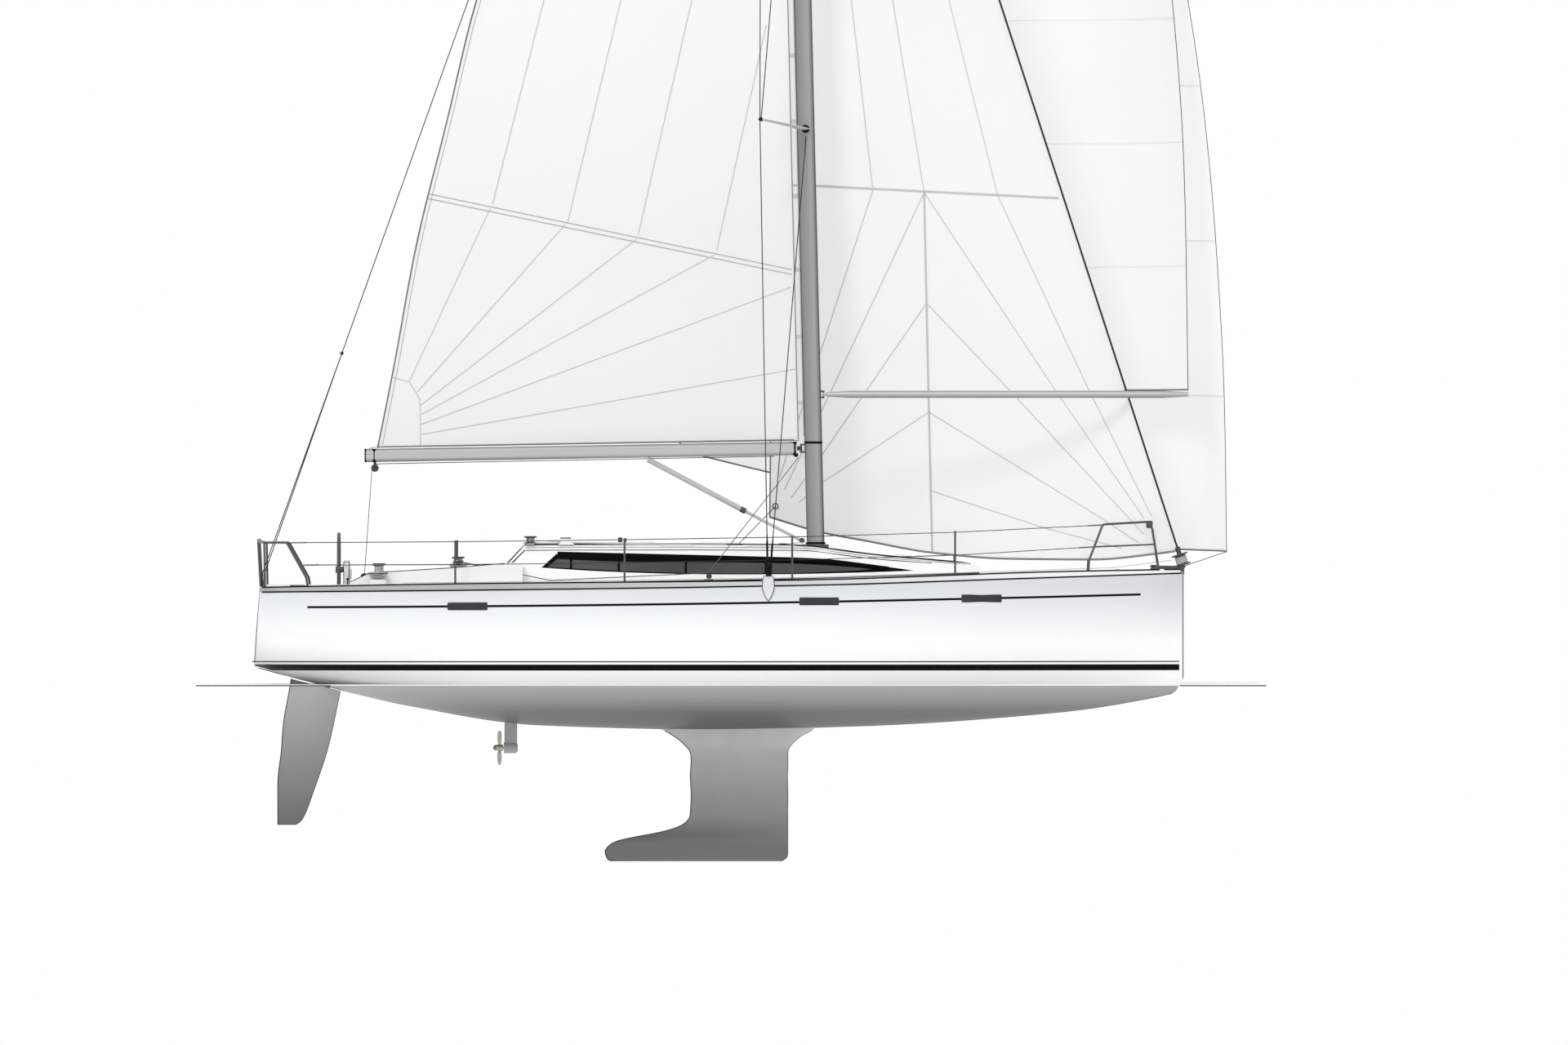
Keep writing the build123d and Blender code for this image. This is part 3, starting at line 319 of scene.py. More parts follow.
deck_white = gelcoat("deck_gelcoat", (246, 246, 245))
nonskid = Paint("deck_nonskid", (240, 240, 239), 0.6, shine=0.2)
nonskid.mottle(2.0, (228, 228, 227), 0.6).bump(nonskid.cells(160), 0.002, 0.5)
rail_grey = Paint("toe_rail", (196, 199, 201), 0.4)
rail_grey.ramp(rail_grey.x, [(-6.1, 168), (-3, 176), (0.5, 205), (3.5, 240), (5.3, 246)])
rail_grey.bump(rail_grey.noise(60, (0.05, 1, 1)), 0.0006, 0.3)
dark_line = Paint("dark_trim", (18, 19, 20), 0.6, shine=0.05).mottle(20, (34, 35, 36))
black_band = Paint("window_surround", (6, 6, 7), 0.5, shine=0.03).mottle(6, (14, 14, 15))
smoked = Paint("smoked_glass", (58, 59, 60), 0.08, shine=0.25, coat=0.1)
smoked.mottle(1.6, (84, 85, 86), 0.9, (0.4, 1, 1))
hull_glass = Paint("hull_glass", (52, 55, 55), 0.1, shine=0.15).mottle(8, (66, 70, 70))
teak = Paint("teak", (178, 140, 98), 0.65)
teak.mottle(14, (150, 112, 74), 0.9, (0.08, 1, 1)).mottle(60, (196, 160, 118), 0.5, (0.03, 1, 1))
plank = teak.math("ABSOLUTE", teak.less(teak.math("FRACT", teak.times(teak.y, PLANKS_PER_METRE)), 0.5))
caulking = teak.over(plank, 0.455, 0.012)
teak.mix(caulking, (34, 32, 30)).bump(teak.less(1.0, caulking), 0.0015, 0.6)
cabin_floor = Paint("cabin_floor", (150, 104, 66), 0.4).mottle(10, (120, 80, 48), 0.8, (0.1, 1, 1))
engine_paint = gelcoat("engine_paint", (150, 154, 155), 0.5)
# The stops paint shade, darker towards the foot of each piece.
keel_paint = underwater("keel_paint", [(-2.2, 112), (-1.95, 124), (-1.3, 166), (-0.7, 208), (-0.45, 212)])
rudder_paint = underwater("rudder_paint", [(-1.75, 112), (-0.9, 156), (-0.1, 196), (0.3, 198)])
drive_paint = underwater("drive_paint", [(-0.9, 170), (-0.3, 190)])

mast_alloy = alloy("mast_alloy", 160)
rake = mast_alloy.times(mast_alloy.less(mast_alloy.z, MAST_FOOT_Z), -MAST_RAKE)
# The ramp across the mast's section paints shade: dark along the fore and aft edges, lightest a little
# forward of the middle.
mast_alloy.ramp(mast_alloy.less(mast_alloy.x, mast_alloy.plus(rake, MAST_FOOT_X)),
                [(-0.12, 56), (-0.102, 80), (-0.09, 136), (-0.02, 150), (0.05, 164), (0.082, 136), (0.1, 72),
                 (0.12, 56)])
mast_alloy.bump(mast_alloy.noise(90, (1, 1, 0.02)), 0.0005, 0.3)
boom_alloy = alloy("boom_alloy", 192)
boom_alloy.mottle(4, (178, 178, 179), 0.7, (0.1, 1, 1)).bump(boom_alloy.noise(90, (0.02, 1, 1)), 0.0005, 0.3)
spar_paint = alloy("boom_spar", 192)
tilt = spar_paint.times(spar_paint.less(spar_paint.x, BOOM_END_X), BOOM_TILT)
# The ramp by height paints shade: dark along the boom's top and bottom edges, light across its middle.
spar_paint.ramp(spar_paint.less(spar_paint.z, spar_paint.plus(tilt, BOOM_END_Z)),
                [(-0.08, 120), (-0.066, 176), (-0.02, 192), (0.04, 190), (0.064, 150), (0.08, 96)])
spar_paint.mottle(4, (178, 178, 179), 0.4, (0.1, 1, 1))
pole_alloy = alloy("pole_alloy", 196)
# The ramp by height paints shade: dark along the pole's top and bottom edges, light across its middle.
pole_alloy.ramp(pole_alloy.z, [(3.455, 96), (3.472, 158), (3.51, 186), (3.535, 168), (3.551, 96)])
pole_alloy.mottle(5, 178, 0.4, (0.1, 1, 1))
stainless = metal("stainless", (92, 93, 95), 0.36)
wire_steel = wire_rope("wire_rope", (40, 41, 42))
light_wire = wire_rope("lifeline_wire", (36, 37, 38))
chrome = metal("winch_chrome", (172, 174, 176), 0.22)
bronze = Paint("propeller_alloy", (180, 178, 170), 0.35, 0.5).mottle(20, (160, 158, 150))
black_plastic = Paint("black_plastic", (44, 45, 46), 0.5).mottle(30, (58, 58, 59))
wheel_leather = Paint("wheel_leather", (88, 88, 90), 0.6)
wheel_leather.mottle(40, (70, 70, 72), 0.8).bump(wheel_leather.cells(260), 0.0008, 0.6)
white_plastic = gelcoat("white_plastic", (240, 240, 240), 0.4)


def sailcloth(name, stops, weave=700):
    paint = Paint(name, 244, 0.75, shine=0.15, sheen=0.05)
    # The ramp by height carries painted shade wherever its stops differ.
    paint.ramp(paint.z, stops).mottle(0.5, 246, 0.15)
    paint.bump(paint.noise(weave, (1, 1, 1), 1.0), 0.0003, 0.2)
    glow = paint.node("ShaderNodeBsdfTranslucent")
    paint.wire(paint.color, glow.inputs["Color"])
    mix = paint.node("ShaderNodeMixShader")
    mix.inputs[0].default_value = 0.4
    paint.wire(paint.shader.outputs[0], mix.inputs[1])
    paint.wire(glow.outputs[0], mix.inputs[2])
    paint.wire(mix.outputs[0], paint.tree.nodes["Material Output"].inputs[0])
    return paint


# The main and the jib are painted darker towards the foot as shade; the light sails stay even.
main_cloth = sailcloth("main_cloth", [(1, 240), (3, 242), (5.5, 243), (7.5, 248), (9, 250), (18, 251)])
jib_cloth = sailcloth("jib_cloth", [(1, 252), (16, 254)])
kite_cloth = sailcloth("spinnaker_cloth", [(3, 254), (17, 254)], 1200)
gennaker_cloth = sailcloth("gennaker_cloth", [(1, 254), (18, 254)], 1200)
seam_tape = tape("seam_tape", 196, 184)
batten_tape = tape("batten_tape", 176, 164)
faint_tape = tape("faint_seam", 240, 236)
edge_tape = tape("edge_tape", (132, 132, 133), 118)
rope_white = Paint("rope_white", 200, 0.8).mottle(500, (150, 150, 155), 0.9)
rope_dark = Paint("rope_dark", (74, 76, 80), 0.8).mottle(500, (110, 112, 116), 0.9)
luff_cord = Paint("luff_cord", (66, 67, 68), 0.7, shine=0.1).mottle(200, (86, 87, 88))


# ---- Mesh building ----
def spaced(start, gap, count):
    return [start + gap * i for i in range(count)]


def around(count):
    """(cosine, sine) of evenly spaced angles round a circle."""
    return [(math.cos(a), math.sin(a)) for a in (2 * math.pi * j / count for j in range(count))]


def rounded(half_x, half_y, corner, inset=0.0, steps=4):
    """Outline of a rectangle with round corners, drawn in by the inset."""
    outline = []
    for quarter, (sx, sy) in enumerate(((1, 1), (-1, 1), (-1, -1), (1, -1))):
        for step in range(steps + 1):
            a = math.pi / 2 * (quarter + step / steps)
            outline.append((sx * (half_x - corner) + (corner - inset) * math.cos(a),
                            sy * (half_y - corner) + (corner - inset) * math.sin(a)))
    return outline


def grid(rows, columns):
    """Faces of a net of points that is laid out row by row."""
    size = columns + 1
    return [(j * size + i, j * size + i + 1, (j + 1) * size + i + 1, (j + 1) * size + i)
            for j in range(rows) for i in range(columns)]


def sampled(line, step=0.2):
    """Points every so often along a run of straight lines."""
    out = []
    for a, b in zip(line, line[1:]):
        a, b = Vector(a), Vector(b)
        count = max(int((b - a).length / step), 1)
        out += [a.lerp(b, i / count) for i in range(count)]
    return out + [Vector(line[-1])]


class Shape:
    """Collects mesh pieces that become one object."""

    def __init__(self):
        self.verts, self.faces = [], []

    def add(self, verts, faces):
        base = len(self.verts)
        self.verts += [tuple(v) for v in verts]
        self.faces += [tuple(base + i for i in face) for face in faces]
        return self

    def rings(self, rings, closed=False):
        """Skin over a row of rings, with flat ends unless the row is closed."""
        count, size = len(rings), len(rings[0])
        faces = []
        for i in range(count if closed else count - 1):
            a, b = i * size, (i + 1) % count * size
            faces += [(a + j, a + (j + 1) % size, b + (j + 1) % size, b + j) for j in range(size)]
        if not closed:
            faces += [tuple(range(size))[::-1], tuple(range((count - 1) * size, count * size))]
        return self.add([v for ring in rings for v in ring], faces)

    def tube(self, points, radius, sides=6, closed=False):
        """Round bar along points; the radius is one number or one for each point."""
        points = [Vector(p) for p in points]
        count = len(points)
        rings, last = [], None
        for i, point in enumerate(points):
            before = points[i - 1] if i or closed else point
            after = points[(i + 1) % count] if i < count - 1 or closed else point
            along = (after - before).normalized()
            side = last - along * last.dot(along) if last else along.orthogonal()
            last = side.normalized()
            other = along.cross(last)
            size = radius[i] if isinstance(radius, list) else radius
            rings.append([point + (last * c + other * s) * size for c, s in around(sides)])
        return self.rings(rings, closed)

    def rope(self, line, radius, step=0.2):
        return self.tube(sampled(line, step), radius)

    def hoop(self, centre, radius, thick, steps, turn=None):
        """Thin bar bent to a full circle, flat unless a turn is given."""
        points = [Vector((radius * c, radius * s, 0)) for c, s in around(steps)]
        return self.tube([Vector(centre) + (turn @ p if turn else p) for p in points], thick, closed=True)

    def lathe(self, profile, at, axis=(0, 0, 1), steps=24):
        """Turned piece; the profile lists (radius, height) along the axis."""
        turn = Vector(axis).to_track_quat("Z", "Y")
        return self.rings([[Vector(at) + turn @ Vector((r * c, r * s, h)) for c, s in around(steps)]
                           for r, h in profile])

    def disc(self, at, radius, height, axis=(0, 0, 1)):
        return self.lathe([(0, 0), (radius, 0), (radius, height), (0, height)], at, axis)

    def sheave(self, at, radius, waist, half_width):
        """Grooved wheel on an axle that lies across the boat."""
        return self.lathe([(0, -half_width), (radius, -half_width), (waist, 0), (radius, half_width),
                           (0, half_width)], at, (0, 1, 0))

    def pad(self, centre, size, corner=0.01, bevel=0.003, place=None):
        """Plate with rounded corners and softened edges."""
        place = place or Matrix()
        half_x, half_y, half_z = (s / 2 for s in size)
        corner = min(corner, half_x * 0.99, half_y * 0.99)
        levels = ((bevel, -half_z), (0, -half_z + bevel), (0, half_z - bevel), (bevel, half_z))
        return self.rings([[place @ (Vector(centre) + Vector((x, y, z)))
                            for x, y in rounded(half_x, half_y, corner, inset)] for inset, z in levels])

    def ribbon(self, pairs, width, lift=0.002, both=True):
        """Flat tape along points; pairs lists (point, surface normal)."""
        points = [Vector(p) for p, _ in pairs]
        for side in (1, -1) if both else (1,):
            verts = []
            for i, (point, normal) in enumerate(pairs):
                along = points[min(i + 1, len(points) - 1)] - points[max(i - 1, 0)]
                normal = Vector(normal).normalized() * side
                out = normal.cross(along).normalized() * width / 2
                verts += [points[i] + normal * lift - out, points[i] + normal * lift + out]
            self.add(verts, [(2 * i, 2 * i + 1, 2 * i + 3, 2 * i + 2) for i in range(len(pairs) - 1)])
        return self

    def both_sides(self):
        count = len(self.verts)
        self.verts += [(x, -y, z) for x, y, z in self.verts]
        self.faces += [tuple(i + count for i in face)[::-1] for face in self.faces]
        return self

    def make(self, name, paint, body="yacht", slot=None, smooth=True, bend=35):
        mesh = bpy.data.meshes.new(name)
        mesh.from_pydata(self.verts, [], self.faces)
        mesh.materials.append(paint.mat)
        mesh.update()
        if smooth:
            mesh.polygons.foreach_set("use_smooth", [True] * len(mesh.polygons))
            mesh.set_sharp_from_angle(angle=math.radians(bend))
        obj = bpy.data.objects.new(name, mesh)
        bpy.context.scene.collection.objects.link(obj)
        if body:
            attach(obj, body)
        return obj


def dress(paint, *names):
    """Gives carried-over CAD nodes their material."""
    for name in names:
        for holder in NODES[name].material_slots:
            holder.material = paint.mat


def on_surface(surface, line, step=0.2):
    """(point, normal) pairs along a line given in the surface's own two coordinates."""
    pairs, d = [], 0.002
    for p in sampled(line, step):
        a = Vector(surface(p.x + d, p.y)) - Vector(surface(p.x - d, p.y))
        b = Vector(surface(p.x, p.y + d)) - Vector(surface(p.x, p.y - d))
        pairs.append((surface(p.x, p.y), a.cross(b).normalized()))
    return pairs


# ---- Sails ----
def belly(u, fullest=0.42):
    return math.sin(math.pi * min(max(u, 0), 1) ** (math.log(0.5) / math.log(fullest)))


main_leech = through([(2.862, -4.5), (3.829, -4.308), (5.309, -4.036), (6.789, -3.671), (8.269, -3.311),
                      (13, -1.59), (17.65, 0.114)])
main_twist = through([(2.862, 0), (6, 0.24), (10, 0.35), (14, 0.26), (17.65, 0.09)])
main_camber = through([(2.862, 0.03), (5, 0.055), (10, 0.06), (17.65, 0.04)])
jib_leech = through([(2.013, 0.237), (4.322, 0.266), (6.296, 0.311), (8.269, 0.355), (12, 0.44),
                     (15.25, 0.64)])
jib_foot = through([(0, 1.602), (0.05, 1.569), (0.21, 1.498), (0.42, 1.508), (0.6, 1.581), (0.76, 1.724),
                    (0.87, 1.827), (1, 2.013)])
jib_sheeting = through([(1.5, 0.352), (4, 0.347), (6.71, 0.346), (8.269, 0.42), (12, 0.45), (15.25, 0.45)])
jib_camber = through([(1.5, 0.07), (4, 0.09), (10, 0.09), (15.25, 0.05)])
kite_luff = through([(3.556, 5.299), (5.931, 5.26), (8.269, 5.107), (11.2, 4.45), (13.8, 3.05), (15.4, 1.5),
                     (16.05, 0.73)])
gennaker_luff = through([(1.599, 5.763), (3.335, 5.738), (5.309, 5.635), (6.789, 5.502), (8.269, 5.294),
                         (11.2, 4.64), (14.2, 3.15), (16.3, 1.35), (17.25, 0.69)])
gennaker_foot = through([(0, 1.599), (0.25, 1.625), (0.5, 1.8), (0.86, 2.536), (1, 2.83)])


def main_luff(z):
    return mast_x(z) - mast_half_chord(z) - 0.065


def main_at(x, z):
    chord = main_luff(z) - main_leech(z)
    u = min(max((main_luff(z) - x) / chord, 0), 1)
    return (x, main_twist(z) * u**1.4 + main_camber(z) * chord * belly(u), z)


def main_uv(u, v):
    foot = 2.948 - 0.086 * u
    z = foot + (MAIN_HEAD - foot) * v
    return main_at(main_luff(z) - (main_luff(z) - main_leech(z)) * u, z)


def jib_at(x, z):
    luff = forestay_x(z) - LUFF_GAP
    chord = luff - jib_leech(z)
    u = min(max((luff - x) / chord, 0), 1)
    return (x, chord * (jib_sheeting(z) * u + jib_camber(z) * belly(u, 0.4)), z)


def jib_uv(u, v):
    z = jib_foot(u) + (JIB_HEAD - jib_foot(u)) * v
    luff = forestay_x(z) - LUFF_GAP
    return jib_at(luff - (luff - jib_leech(z)) * u, z)


def round_mast(x, degrees, draw_in, s, z):
    """Point that has swung round the mast's axis, a little nearer to it the further it is along."""
    radius = (x - pole_axis_x(z)) * (1 - draw_in * s**2)
    angle = math.radians(degrees)
    return (pole_axis_x(z) + radius * math.cos(angle), radius * math.sin(angle), z)


def kite_uv(u, v):
    z = KITE_FOOT + KITE_RISE * v
    return round_mast(kite_luff(z), -2.5 + 100 * u, 0.19, u, z)


def gennaker_uv(u, v):
    z = gennaker_foot(u) + (GENNAKER_HEAD - gennaker_foot(u)) * v
    return round_mast(gennaker_luff(z), 113 * u, 0.07, u, z)


CREASES, CREASE_REACH, CALM_EDGE = 26, 1.1, 12


def sail(name, surface, paint, body, node, across=44, up=96, crease=0.01):
    """Cloth over the sail's surface, with soft creases that fan out of its corners."""
    corners = [(Vector(surface(u, v)), u, v) for u, v in ((0, 0), (1, 0), (0, 1))]
    verts, d = [], 0.004
    for j in range(up + 1):
        for i in range(across + 1):
            u, v = i / across, j / up
            point = Vector(surface(u, v))
            push = 0.0
            for corner, cu, cv in corners:
                gap = point - corner
                angle = math.atan2(gap.z, math.hypot(gap.x, gap.y))
                fade = math.exp(-gap.length / CREASE_REACH) * min(gap.length * 3, 1)
                push += crease * math.sin(angle * CREASES + cu * 2 + cv) * fade
            push *= min(min(u, 1 - u, v, 1 - v) * CALM_EDGE, 1)
            a = Vector(surface(min(u + d, 1), v)) - Vector(surface(max(u - d, 0), v))
            b = Vector(surface(u, min(v + d, 1))) - Vector(surface(u, max(v - d, 0)))
            normal = a.cross(b)
            verts.append(point + normal.normalized() * push if normal.length > 1e-9 else point)
    obj = Shape().add(verts, grid(up, across)).make(name, paint, body, bend=180)
    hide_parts(node)
    return obj


def seams(name, surface, lines, width, paint, body, slot, step=0.2):
    shape = Shape()
    for line in lines:
        shape.ribbon(on_surface(surface, line, step), width, 0.003)
    return shape.make(name, paint, body, slot, smooth=False)


def cords(name, surface, edges, body, slot, radius):
    """Bolt rope along a sail's edges; edges lists the two ends of each in the sail's own coordinates."""
    shape = Shape()
    for start, end in edges:
        line = [Vector(start).lerp(Vector(end), i / 60) for i in range(61)]
        shape.tube([surface(p.x, p.y) for p in line], radius)
    return shape.make(name, luff_cord, body, slot)


main = sail("mainsail_cloth", main_uv, main_cloth, "boom", "mainsail")
main_seams = seams("mainsail_seams", main_at, [
    [(-3.14, 5.75), (-4.11, 3.67)], [(-2.23, 5.56), (-4.02, 3.53)], [(-1.37, 5.38), (-3.98, 3.37)],
    [(-0.43, 5.19), (-3.97, 3.26)], [(0.5, 4.8), (-3.97, 3.14)], [(0.56, 3.81), (-3.96, 3.02)],
    [(-4.32, 3.71), (-4.11, 3.65), (-3.99, 3.45), (-3.98, 3.19), (-3.98, 2.87)],
    [(-3.11, 5.8), (-2.49, 8.27), (-1.3, 12.6)], [(-2.2, 5.59), (-1.56, 8.27), (-0.66, 12.5)],
    [(-1.35, 5.43), (-0.7, 8.27), (-0.1, 11.6)], [(-0.4, 5.24), (0.2, 7.97)],
    [(-1.3, 12.6), (0.06, 17.0)], [(-0.66, 12.5), (0.12, 16.9)]],
    0.011, seam_tape, "boom", "sailcloth")
batten_edges = []
for (aft_x, aft_z), (fore_x, fore_z) in (((-3.89, 5.93), (0.54, 5.01)), ((-2.98, 9.2), (0.46, 8.49)),
                                         ((-1.93, 12.1), (0.4, 11.62)), ((-0.95, 14.8), (0.33, 14.53))):
    for gap in (0.0, 0.058):
        batten_edges.append([(aft_x, aft_z - gap), (fore_x - 0.03, fore_z - gap)])
main_battens = seams("mainsail_battens", main_at, batten_edges, 0.012, batten_tape, "boom", "sailcloth")
main_hem = seams("mainsail_hem", main_at, [
    [(main_leech(z) + 0.008, z) for z in spaced(2.87, 0.46, 32)],
    [(main_luff(z) - 0.008, z) for z in spaced(2.96, 0.46, 32)],
    [(-4.49, 2.869), (0.53, 2.955)]], 0.014, edge_tape, "boom", "sailcloth")
leech_line = [(main_leech(z) + 0.055, z) for z in spaced(2.9, 0.46, 32)]
main_inner = seams("mainsail_leech_line", main_at, [leech_line], 0.009, batten_tape, "boom", "sailcloth")
board_x, board_z = main_luff(17.55) - 0.05, 17.55
headboard = Shape().pad((board_x, main_at(board_x, board_z)[1], board_z), (0.1, 0.016, 0.16), 0.02)
head_plate = headboard.make("mainsail_headboard", stainless, "boom", "stainless")
cars = Shape()
for z in (5.01, 8.49, 11.62, 14.53, 3.4, 4.2, 5.9, 6.8, 7.6, 9.5, 10.5, 12.6, 13.5, 15.5, 16.4, 17.2):
    cars.pad((mast_x(z) - mast_half_chord(z) - 0.035, 0, z), (0.062, 0.026, 0.05), 0.006)
cars.make("luff_cars", seam_tape, "boom", "black_plastic")

jib = sail("jib_cloth", jib_uv, jib_cloth, "yacht", "jib")
jib_seams = seams("jib_seams", jib_at, [
    [(1.23, 8.27), (1.49, 5.98)], [(1.73, 8.27), (2.11, 5.95)], [(2.41, 8.27), (3.0, 5.91)],
    [(1.49, 5.98), (0.87, 4.06), (0.36, 2.5)], [(2.11, 5.95), (1.0, 3.58), (0.42, 2.35)],
    [(2.11, 5.95), (3.68, 3.58), (4.77, 2.0)], [(3.0, 5.91), (4.09, 3.58), (4.86, 2.03)],
    [(2.14, 4.61), (0.9, 2.81), (0.5, 2.25)], [(2.14, 4.61), (3.14, 3.56), (4.77, 1.81)],
    [(2.17, 3.29), (0.91, 2.46), (0.6, 2.2)], [(2.17, 3.29), (4.25, 2.01), (4.7, 1.71)],
    [(2.19, 2.34), (3.56, 1.89), (4.5, 1.64)],
    [(1.23, 8.27), (0.84, 11.5), (0.7, 14.0)], [(1.73, 8.27), (1.1, 12.5), (0.8, 14.5)],
    [(2.41, 8.27), (1.5, 12.2), (0.85, 14.6)]], 0.01, seam_tape, "yacht", "sailcloth")
jib_bands = seams("jib_seam_bands", jib_at, [
    [(0.32, 6.045), (0.82, 6.03), (3.74, 5.875)], [(2.11, 5.95), (2.14, 4.61), (2.17, 3.29), (2.21, 1.58)]],
    0.024, seam_tape, "yacht", "sailcloth")
jib_hem = seams("jib_hem", jib_uv, [[(0.999, 0.0), (0.999, 0.99)], [(0.002, 0.001), (0.998, 0.001)]],
                0.014, edge_tape, "yacht", "sailcloth", 0.02)
clew = Vector(jib_uv(0.985, 0.012))
clew_ring = Shape().hoop(clew, 0.034, 0.007, 20, Vector((0.2, 1, 0.1)).to_track_quat("Z", "Y"))
jib_ring = clew_ring.make("jib_clew_ring", stainless, "yacht", "stainless")

LEVEL_SEAMS = [[(0, v), (1, v)] for v in (0.12, 0.24, 0.36, 0.48, 0.6, 0.72, 0.84)]
HEMS = [[(0.0015, 0), (0.0015, 1)], [(0.9985, 0), (0.9985, 1)], [(0, 0.0006), (1, 0.0006)]]
EDGES = [((0, 0), (0, 1)), ((1, 0), (1, 1)), ((0, 0), (1, 0))]


def light_sail(name, surface, paint, body, across, up, cord):
    """Cloth, seams, hem and edge cord of a light sail."""
    return (sail(name + "_cloth", surface, paint, body, name, across, up, 0.012),
            seams(name + "_seams", surface, LEVEL_SEAMS, 0.014, faint_tape, body, "light_sailcloth", 0.03),
            seams(name + "_hem", surface, HEMS, 0.014, edge_tape, body, "light_sailcloth", 0.02),
            cords(name + "_edge_cord", surface, EDGES, body, "light_sailcloth", cord))


kite, kite_seams, kite_hem, kite_cord = light_sail(
    "spinnaker", kite_uv, kite_cloth, "spinnaker_pole", 48, 84, 0.005)
genny, genny_seams, genny_hem, genny_cord = light_sail(
    "gennaker", gennaker_uv, gennaker_cloth, "yacht", 52, 90, 0.0045)
jib_cord = cords("jib_edge_cord", jib_uv, EDGES[1:], "yacht", "sailcloth", 0.004)
main_cord = cords("mainsail_edge_cord", main_uv, EDGES[1:], "boom", "sailcloth", 0.004)

# ---- CAD nodes that keep their shape ----
dress(topsides, "hull", "chainplates", "transom_platform")
dress(deck_white, "cockpit", "coachroof", "steering_pedestals", "hatch_runners", "cockpit_locker_lid_port",
      "cockpit_locker_lid_starboard", "anchor_locker_lid", "saloon_hatch", "fore_hatch")
dress(nonskid, "deck")
dress(rail_grey, "toe_rail")
dress(black_band, "window_bands")
dress(smoked, "window_panes", "companionway_hatch", "washboard")
dress(cabin_floor, "cabin_sole")
dress(engine_paint, "engine")
dress(keel_paint, "keel")
dress(rudder_paint, "rudder_blade")
dress(drive_paint, "saildrive_leg")
dress(bronze, "propeller_hub", "propeller_blades")
dress(mast_alloy, "mast")
dress(boom_alloy, "spreaders", "kicker")
dress(spar_paint, "boom")
dress(pole_alloy, "spinnaker_pole")
dress(stainless, "rudder_stock", "mast_fittings", "pulpit", "pushpits", "stanchions", "mooring_cleats",
      "bow_fitting", "hatch_frames", "mast_step")
dress(wire_steel, "forestay", "backstay", "cap_shrouds", "diagonal_shrouds")
dress(black_plastic, "boom_fittings", "mainsheet_traveller")
dress(wheel_leather, "steering_wheel_port", "steering_wheel_starboard")


# ---- Hull trim ----
def hull_strip(name, bottom_z, top_z, proud):
    """Thin dark moulding along both sides; the heights are functions of x."""
    rings = []
    for x in spaced(-5.88, 0.1, 111) + [5.2, 5.225]:
        y, low, high = breadth(x), bottom_z(x), top_z(x)
        rings.append([(x, y - 0.002, low), (x, y + proud, low), (x, y + proud, high), (x, y - 0.002, high)])
    Shape().rings(rings).both_sides().make(name, dark_line, slot="rail_grey")


hull_strip("sheer_line", lambda x: sheer(x) - 0.008, lambda x: sheer(x) + 0.009, 0.004)
hull_strip("rail_top_line", lambda x: sheer(x) + rail_height(x) - 0.016,
           lambda x: sheer(x) + rail_height(x) + 0.001, 0.0025)


def edge_line(name, node, middle, body, slot):
    """Fine dark line of painted shade along a foil's leading and trailing edge and across its foot."""
    place = NODES[node].matrix_world
    points = {tuple(round(c, 4) for c in place @ v.co) for v in NODES[node].data.vertices}
    flat = sorted(((x, y, z) for x, y, z in points if abs(y) < 0.0006), key=lambda p: p[2])
    shape, feet = Shape(), []
    for side in (-1, 1):
        line = [p for p in flat if (p[0] - middle(p[2])) * side > 0]
        feet.append(line[0])
        shape.tube(line, 0.005)
    shape.tube(feet, 0.005).make(name, dark_line, body, slot)


edge_line("keel_edges", "keel", lambda z: -0.1, "yacht", "keel_paint")
edge_line("rudder_edges", "rudder_blade", lambda z: -5.3 + 0.2 * z, "rudder", "rudder_paint")
hull_edges = Shape()
hull_edges.tube([(x, 0, bottom(x) + 0.001) for x in spaced(-5.94, 0.16, 70)], 0.0055)
hull_edges.tube([(5.236, 0, 0.082), (5.24, 0, 0.09), (5.24, 0, 1.39)], FAIR_LINE)
for side in (1, -1):
    hull_edges.tube([(-5.98 + 0.0813 * (z - 0.207), side * (hull_half(-5.94, z) - 0.003), z)
                     for z in spaced(0.26, 0.065, 15)], FAIR_LINE)
hull_edges.make("hull_edges", dark_line, slot="rail_grey")
lights = Shape()
for low_x, high_x, mid_z in ((-3.641, -3.158, 0.944), (0.598, 1.076, 1.004), (2.554, 3.039, 1.038)):
    middle = (low_x + high_x) / 2
    verts = []
    for inset, lift in ((0, 0.004), (0.008, 0.008)):
        for dx, dz in rounded((high_x - low_x) / 2, 0.047, 0.014, inset, 6):
            x, z = middle + dx, mid_z + dz
            verts.append((x, hull_half(x, z) + lift, z))
    count = len(verts) // 2
    verts.append((middle, hull_half(middle, mid_z) + 0.008, mid_z))
    faces = [(j, (j + 1) % count, count + (j + 1) % count, count + j) for j in range(count)]
    faces += [(count + j, count + (j + 1) % count, 2 * count) for j in range(count)]
    lights.add(verts, faces)
lights.both_sides().make("hull_windows", hull_glass, slot="smoked_glass", bend=60)


# ---- Coachroof trim ----
def roof_ribbon(shape, start, end, height, width, lift):
    """Tape along the coachroof's side; the height is a function of x."""
    line = []
    for i in range(60):
        x = start + (end - start) * i / 59
        line.append(((x, roof_side(x, height(x)), height(x)), (0, 1, 0.5)))
    return shape.ribbon(line, width, lift, both=False)


grooves = Shape()
for drop, end, width in ((0.07, 2.2, 0.014), (0.036, 2.6, 0.006)):
    roof_ribbon(grooves, -2.7, end, lambda x: roof_top(x) - drop * (1 - 0.5 * max(x, 0) / 2.6), width, 0.003)
grooves.both_sides().make("coachroof_mouldings", dark_line, slot="rail_grey")
band_top = through([(-2.333, 1.575), (-1.8, 1.562), (-1.25, 1.549), (-0.178, 1.523), (0.809, 1.493),
                    (1.7, 1.405)])
shade = roof_ribbon(Shape(), -2.32, 1.68, lambda x: band_top(x) - 0.002 - 0.018 * max(x - 0.9, 0),
                    0.056, 0.013)
shade.both_sides().make("window_shades", black_band, slot="black_surround")

